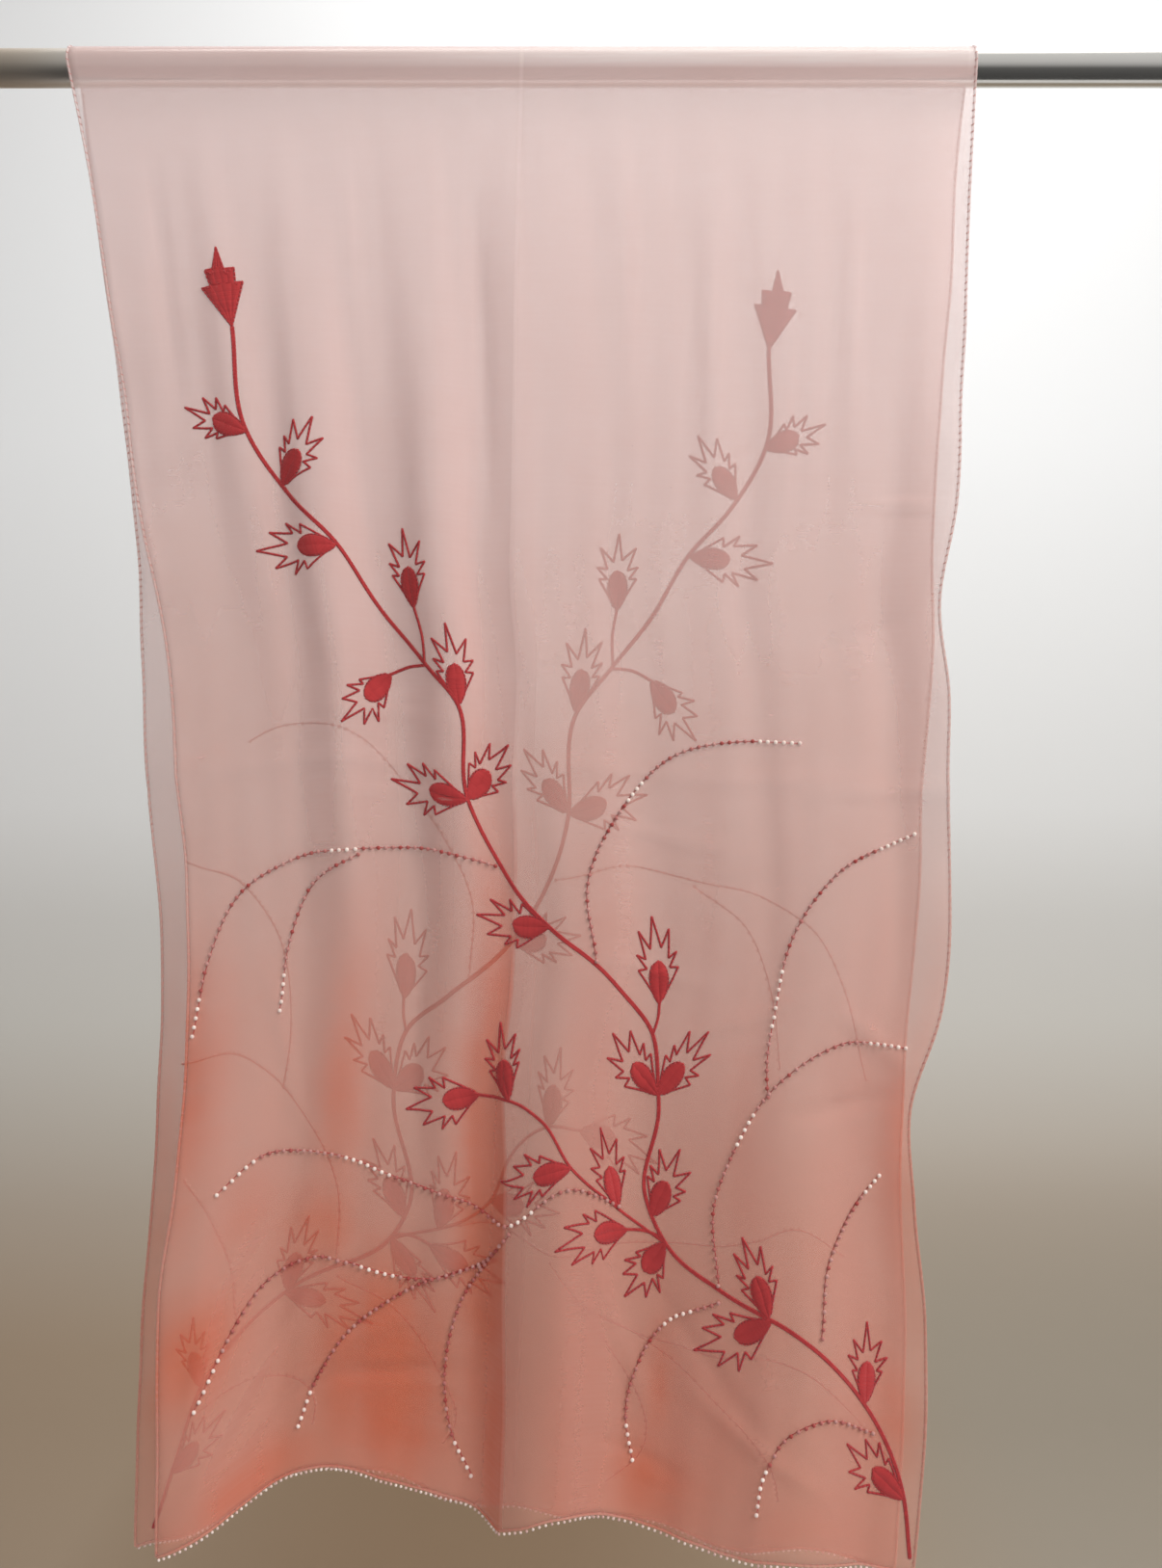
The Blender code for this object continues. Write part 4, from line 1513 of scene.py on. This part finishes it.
@dataclass(frozen=True)
class Beads:
    """Round beads sewn on the cloth: the curved tendrils of both ends, and a row along each end hem."""

    drape: Drape
    pitch: float = 0.0062
    radius: float = 0.00145
    hem_pitch: float = 0.0044
    hem_radius: float = 0.0010
    hem_inset: float = 0.002
    hem_out: float = 0.0006
    rings: int = 4
    sides: int = 8

    def ball(self) -> tuple[Array, list[list[int]]]:
        """A unit ball: rings of points between two poles, closed with triangles at the poles."""
        polar = np.linspace(0, math.pi, self.rings + 2)[1:-1]
        turn = np.linspace(0, 2 * math.pi, self.sides, endpoint=False)
        rim = np.stack([
            np.sin(polar)[:, None] * np.cos(turn), np.sin(polar)[:, None] * np.sin(turn),
            np.cos(polar)[:, None] * np.ones(self.sides),
        ], axis=-1).reshape(-1, 3)
        vertices = np.concatenate([[[0, 0, 1]], rim, [[0, 0, -1]]])
        faces: list[list[int]] = []
        last = len(vertices) - 1
        for i in range(self.sides):
            j = (i + 1) % self.sides
            faces.append([0, 1 + i, 1 + j])
            for ring in range(self.rings - 1):
                low, high = 1 + ring * self.sides, 1 + (ring + 1) * self.sides
                faces.append([low + i, high + i, high + j, low + j])
            faces.append([last, last - self.sides + j, last - self.sides + i])
        return vertices, faces

    def build(self, name: str, centres: Array, radius: float, tones: Array,
              finish: bpy.types.Material) -> bpy.types.Object:
        """Makes one joined mesh of a ball at each centre.

        Args:
            name: the piece's name.
            centres: the beads' middles.
            radius: their radius.
            tones: how pearly each is.
            finish: the beads' material.

        Returns:
            The piece.
        """
        ball, faces = self.ball()
        vertices = (centres[:, None, :] + ball[None] * radius).reshape(-1, 3)
        numbers = [
            [n + k * len(ball) for n in face] for k in range(len(centres)) for face in faces
        ]
        made = new_piece(name, vertices, numbers, finish)
        set_number(made, "tone", np.repeat(tones, len(ball)))
        return made

    def tendrils(self, side: int, finish: bpy.types.Material) -> bpy.types.Object:
        """Makes the curved strings of beads on one end of the cloth."""
        centres, tones = [], []
        rng = np.random.default_rng(11)
        for row in TENDRILS:
            places, _ = even_path(row.points, self.pitch)
            points, normals = self.drape.end(side, places)
            share = np.linspace(0, 1, len(places))
            pearly = np.zeros(len(places))
            for low, high in row.pearly:
                pearly = np.maximum(pearly, (share >= low) & (share <= high))
            centres.append(points + normals * (SHELL / 2 + self.radius * 0.9))
            bright, dark = rng.uniform(0.75, 1.0, len(places)), rng.uniform(0, 0.3, len(places))
            tones.append(pearly * bright + (1 - pearly) * dark)
        name = "tendril_beads_front" if side < 0 else "tendril_beads_back"
        return self.build(name, np.concatenate(centres), self.radius, np.concatenate(tones), finish)

    def hem(self, side: int, finish: bpy.types.Material) -> bpy.types.Object:
        """Makes the row of beads that hangs just under one end hem."""
        count = int(CLOTH_WIDTH / self.hem_pitch)
        across = np.linspace(self.hem_inset, CLOTH_WIDTH - self.hem_inset, count)
        end = 0.0 if side < 0 else self.drape.length
        inside = EDGE_REACH if side < 0 else self.drape.length - EDGE_REACH
        edge, normal = self.drape.read(across, np.full(count, end))
        above, _ = self.drape.read(across, np.full(count, inside))
        down = unit(edge - above)
        below = RolledHems.diameter + self.hem_radius * 0.8
        centres = edge + down * below + normal * self.hem_out
        rng = np.random.default_rng(5 + side)
        name = "hem_beads_front" if side < 0 else "hem_beads_back"
        return self.build(name, centres, self.hem_radius, rng.uniform(0.40, 0.95, count), finish)


@dataclass(frozen=True)
class RolledHems:
    """The narrow rolled hems round the cloth's four edges, and the small stitches that hold them."""

    drape: Drape
    diameter: float = 0.0019
    step: float = 0.0025
    sides: int = 8
    stitch_every: float = 0.0042
    stitch_width: float = 0.00055
    stitch_slant: float = 0.0006

    def edge(self, across: Array, run: Array, away: Array) -> tuple[Array, Array]:
        """Reads a hem's centres and the ways outward from the cloth's edge.

        Args:
            across: distances across the cloth at the edge.
            run: distances along the whole cloth at the edge.
            away: across and run steps that point off the cloth.

        Returns:
            The centres, just outside the edge, and the unit ways off the cloth.
        """
        at, _ = self.drape.read(across, run)
        inside, _ = self.drape.read(across - away[0] * EDGE_REACH, run - away[1] * EDGE_REACH)
        off = unit(at - inside)
        return at + off * self.diameter * 0.42, off

    def tube(self, centres: Array, off: Array, phase: float) -> tuple[Array, list[list[int]]]:
        """Carries a round section along a hem, a little thicker and thinner from stitch to stitch.

        Args:
            centres: the hem's centres.
            off: unit ways off the cloth.
            phase: where the swelling starts.

        Returns:
            The tube's points and faces, its two ends closed.
        """
        way = unit(np.gradient(centres, axis=0))
        up = unit(np.cross(off, way))
        side = unit(np.cross(way, up))
        turn = np.linspace(0, 2 * math.pi, self.sides, endpoint=False)
        long = np.concatenate([[0], np.cumsum(np.linalg.norm(np.diff(centres, axis=0), axis=1))])
        swell = 1 + 0.10 * np.sin(2 * math.pi * long / self.stitch_every + phase)
        swell = swell + 0.06 * np.sin(long * 61)
        around = up[:, None, :] * np.cos(turn)[None, :, None]
        around = around + side[:, None, :] * np.sin(turn)[None, :, None]
        vertices = centres[:, None, :] + around * (self.diameter / 2 * swell)[:, None, None]
        vertices = vertices.reshape(-1, 3)
        number = np.arange(len(vertices)).reshape(len(centres), self.sides)
        beside = np.roll(number, -1, axis=1)
        quads = np.stack([number[:-1], beside[:-1], beside[1:], number[1:]], axis=-1).reshape(-1, 4)
        return vertices, quads.tolist() + [number[0, ::-1].tolist(), number[-1].tolist()]

    def build(self, cloth: bpy.types.Material, thread: bpy.types.Material) -> list[bpy.types.Object]:
        """Makes the four hems and their stitches.

        Args:
            cloth: the hems' material.
            thread: the stitches' material.

        Returns:
            The hems and the stitches.
        """
        length = self.drape.length
        runs = np.linspace(0, length, int(length / self.step))
        past = self.diameter / 2
        spans = np.linspace(-past, CLOTH_WIDTH + past, int(CLOTH_WIDTH / self.step))
        rows = (
            ("side_hem_left", np.zeros_like(runs), runs, np.array([-1.0, 0.0])),
            ("side_hem_right", np.full_like(runs, CLOTH_WIDTH), runs, np.array([1.0, 0.0])),
            ("front_end_hem", spans, np.zeros_like(spans), np.array([0.0, -1.0])),
            ("back_end_hem", spans, np.full_like(spans, length), np.array([0.0, 1.0])),
        )
        made, bag = [], Stitches()
        rng = np.random.default_rng(23)
        for name, across, run, away in rows:
            centres, off = self.edge(across, run, away)
            vertices, faces = self.tube(centres, off, len(name))
            piece = new_piece(f"rolled_{name}", vertices, faces, cloth)
            places = np.repeat(np.stack([across, run], axis=-1) / length, self.sides, axis=0)
            set_uv(piece, "cloth", places)
            set_number(piece, "fade", np.repeat(self.drape.fade(across, run), self.sides))
            set_number(piece, "dye", np.repeat(self.drape.dye(across, run), self.sides))
            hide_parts(name)
            made.append(piece)
            every = max(1, round(self.stitch_every / self.step))
            picked = np.arange(1, len(centres) - 2, every)
            way = unit(np.gradient(centres, axis=0))[picked]
            _, facing = self.drape.read(across[picked], run[picked])
            for face in (1, -1):
                up = facing * face
                base = centres[picked] + up * self.diameter * 0.52
                start = base - off[picked] * self.diameter * 0.75 - way * self.stitch_slant
                end = base + off[picked] * self.diameter * 0.35 + way * self.stitch_slant
                start = start - up * self.diameter * 0.30
                tone = 0.35 + rng.uniform(-0.2, 0.2, len(picked))
                bag.lay(start, end, up, self.stitch_width, tone)
        made.append(bag.build("hem_stitches", "rolled_hem", thread))
        return made


@dataclass(frozen=True)
class Rail:
    """The round steel tube that the scarf hangs on, its ends closed with flat caps."""

    sides: int = 96
    corner: float = 0.001
    rounds: int = 24
    bare_from: float = 0.004

    def build(self, finish: bpy.types.Material) -> bpy.types.Object:
        """Makes the rail: a profile of its half section, turned about the rail's axis.

        Args:
            finish: the steel.

        Returns:
            The piece that stands for the rail's solid.
        """
        x0, x1, r = RAIL_LOW.x, RAIL_HIGH.x, RAIL_RADIUS
        arc = np.linspace(0, math.pi / 2, 5)
        inward, radii = self.corner * (1 - np.sin(arc)), r - self.corner * (1 - np.cos(arc))
        left, right = (np.stack([x, radii], axis=-1) for x in (x0 + inward, x1 - inward))
        bare = np.linspace(x0 + self.bare_from, x1 - self.bare_from, self.rounds)
        bare = np.stack([bare, np.full(self.rounds, r)], axis=-1)
        profile = np.concatenate([left[::-1], bare, right])
        turn = np.linspace(0, 2 * math.pi, self.sides, endpoint=False)
        vertices = np.empty((len(profile), self.sides, 3))
        vertices[..., 0] = profile[:, 0, None]
        vertices[..., 1] = profile[:, 1, None] * np.cos(turn)
        vertices[..., 2] = profile[:, 1, None] * np.sin(turn)
        number = np.arange(len(profile) * self.sides).reshape(len(profile), self.sides)
        beside = np.roll(number, -1, axis=1)
        quads = np.stack([number[:-1], number[1:], beside[1:], beside[:-1]], axis=-1).reshape(-1, 4)
        faces = quads.tolist() + [number[0].tolist(), number[-1, ::-1].tolist()]
        made = new_piece("steel_rail", vertices.reshape(-1, 3), faces, finish)
        made.data.set_sharp_from_angle(angle=math.radians(50))
        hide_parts("rail")
        return made


class Lamp(NamedTuple):
    """A soft square lamp: where it stands, what it is aimed at, the length of its side, its power in
    watts, its tint, and whether it shows in glossy surfaces."""

    name: str
    at: tuple[float, float, float]
    to: tuple[float, float, float]
    size: float
    power: float
    tint: tuple[float, float, float]
    mirrored: bool


LAMPS = (
    Lamp("key", (1.9, -1.8, 1.5), (0.0, 0.0, -0.35), 1.5, 76.0, (1.0, 0.98, 0.96), False),
    Lamp("top", (0.5, 0.6, 2.6), (0.2, 0.0, 0.0), 3.0, 26.0, (1.0, 0.99, 0.98), True),
    Lamp("wall_wash", (0.6, 1.0, 2.2), (0.8, 2.6, 0.2), 2.5, 40.0, (1.0, 1.0, 1.0), True),
)


@dataclass(frozen=True)
class Studio:
    """The plain backdrop and floor, the lights, and the camera at the photograph's viewing angle."""

    camera_at: tuple[float, float, float] = (0.041, -0.95, -0.502)
    seen_height: float = 1.0999
    wall_y: float = 2.6
    floor_z: float = -1.75
    floor_seam_y: float = 0.25
    near: Colour = colour(0.60, 0.60, 0.60)
    low_right: Colour = colour(0.268, 0.246, 0.205)
    shadow_brown: Colour = colour(0.150, 0.090, 0.048)
    cove: float = 0.9
    half_width: float = 4.5
    front_y: float = -3.6
    wall_top: float = 3.0

    def camera(self) -> None:
        """Makes the camera: level, and as far from the rail as its tube's width in the photo says."""
        data = bpy.data.cameras.new("camera")
        half = math.atan(self.seen_height / 2 / -self.camera_at[1])
        data.lens = data.sensor_width / 2 / math.tan(half)
        data.clip_start = 0.05
        made = bpy.data.objects.new("camera", data)
        made.location = self.camera_at
        made.rotation_euler = (math.pi / 2, 0, 0)
        bpy.context.scene.collection.objects.link(made)
        bpy.context.scene.camera = made

    def backdrop(self) -> None:
        """Makes the floor, and behind it the cove and wall.

        The floor in front isn't mirrored in the steel, so that the rail keeps the dark band that it
        has in a room whose floor is out of the light.
        """
        arc = np.linspace(0, math.pi / 2, 17)
        bend = np.stack([
            self.wall_y - self.cove + self.cove * np.sin(arc),
            self.floor_z + self.cove - self.cove * np.cos(arc),
        ], axis=-1)
        paper = self.paper()
        seam = np.array([[self.floor_seam_y, self.floor_z]])
        self.sheet("backdrop", np.concatenate([seam, bend, [[self.wall_y, self.wall_top]]]), paper)
        floor = self.sheet("floor", np.concatenate([[[self.front_y, self.floor_z]], seam]), paper)
        floor.visible_glossy = False

    def sheet(self, name: str, profile: Array, finish: bpy.types.Material) -> bpy.types.Object:
        """Makes a staged sheet: a profile of y and z carried along X.

        Args:
            name: the sheet's name.
            profile: its profile.
            finish: its material.

        Returns:
            The sheet.
        """
        vertices = np.repeat(np.insert(profile, 0, 0.0, axis=1), 2, axis=0)
        vertices[0::2, 0], vertices[1::2, 0] = -self.half_width, self.half_width
        faces = [[2 * i, 2 * i + 1, 2 * i + 3, 2 * i + 2] for i in range(len(profile) - 1)]
        mesh = bpy.data.meshes.new(name)
        mesh.from_pydata(vertices.tolist(), [], faces)
        mesh.shade_smooth()
        mesh.materials.append(finish)
        made = bpy.data.objects.new(name, mesh)
        bpy.context.scene.collection.objects.link(made)
        return made

    def paper(self) -> bpy.types.Material:
        """Builds the backdrop's material: near white above, falling to grey beige at the floor, a
        little browner and darker under the scarf, a painted shadow, and greyer to its right, and pale
        again in front of what the camera sees."""
        book = Nodes("backdrop_paper")
        across, depth, up = book.split(book.add("ShaderNodeTexCoord", {}, {}, "Object"))
        height = (up + 2.0) / 4.0
        tone = book.add("ShaderNodeValToRGB", {"stops": [
            (0.00, (0.292, 0.222, 0.158)),
            (0.07, (0.292, 0.222, 0.158)),
            (0.12, (0.352, 0.297, 0.242)),
            (0.22, (0.530, 0.512, 0.474)),
            (0.36, (0.720, 0.720, 0.710)),
            (0.60, (0.800, 0.805, 0.805)),
            (1.00, (0.800, 0.800, 0.800)),
        ]}, {0: height}, "Color")
        low = 1.0 - height.between(0.06, 0.16)
        # Painted shadow: low on the backdrop under the scarf the colour is mixed toward a darker brown
        off = (across + 0.15) / 0.65
        under = (1.0 - off * off).most(0.0) * low
        greyed = book.mix(across.between(0.2, 0.9) * low * 0.7, tone, self.low_right)
        shadowed = book.mix(under * 0.60, greyed, self.shadow_brown)
        mixed = book.mix(1.0 - depth.between(0.85, 1.15), shadowed, self.near)
        return book.finish(Base_Color=mixed, Roughness=0.9, Specular_IOR_Level=0.0)

    def lamps(self) -> None:
        """Makes the soft square lamps."""
        for lamp in LAMPS:
            data = bpy.data.lights.new(lamp.name, "AREA")
            data.size, data.energy, data.color = lamp.size, lamp.power, lamp.tint
            made = bpy.data.objects.new(lamp.name, data)
            made.location = lamp.at
            way = Vector(lamp.to) - Vector(lamp.at)
            made.rotation_euler = way.to_track_quat("-Z", "Y").to_euler()
            made.visible_glossy = lamp.mirrored
            bpy.context.scene.collection.objects.link(made)

    def world(self) -> None:
        """Makes a pale world, brighter above than below and brighter to the right."""
        book = Nodes("studio", world=True)
        across, _, up = book.split(book.add("ShaderNodeTexCoord", {}, {}, "Generated"))
        height = book.add("ShaderNodeMapRange", {}, {0: up, 1: -1.0, 2: 1.0})
        rows = ((0.0, 0.08), (0.30, 0.14), (0.45, 0.52), (0.60, 0.73), (1.0, 0.92))
        stops = [(at, (value, value, value)) for at, value in rows]
        tone = book.add("ShaderNodeValToRGB", {"stops": stops}, {0: height}, "Color")
        strength = book.add("ShaderNodeMapRange", {}, {0: across, 1: -1.0, 2: 1.0, 3: 0.455, 4: 1.0})
        glow = book.add("ShaderNodeBackground", {}, {"Color": tone, "Strength": strength})
        bpy.context.scene.world = book.show(glow)


def main() -> None:
    """Builds the rail, the cloth, its hems, its embroidery and its beads, then the studio."""
    logging.basicConfig(level=logging.INFO, format="%(name)s %(message)s")
    bpy.context.scene.view_settings.view_transform = "Standard"
    studio = Studio()
    studio.camera()
    drape = Drape()
    thread = Thread().material()
    pearl = Pearl().material()
    Rail().build(Steel().material())
    cloth = Cloth(drape).build()
    hem_thread = Thread("hem_thread", colour(0.30, 0.06, 0.055), colour(0.60, 0.22, 0.19)).material()
    sewn = RolledHems(drape).build(Chiffon(drape.length, dense=True).material(), hem_thread)
    beads = Beads(drape)
    for side in (-1, 1):
        sewn.append(Spray(drape, side).build(thread))
        sewn.append(beads.tendrils(side, pearl))
        sewn.append(beads.hem(side, pearl))
    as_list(sewn)
    studio.backdrop()
    studio.lamps()
    studio.world()


if __name__ == "__main__":
    main()
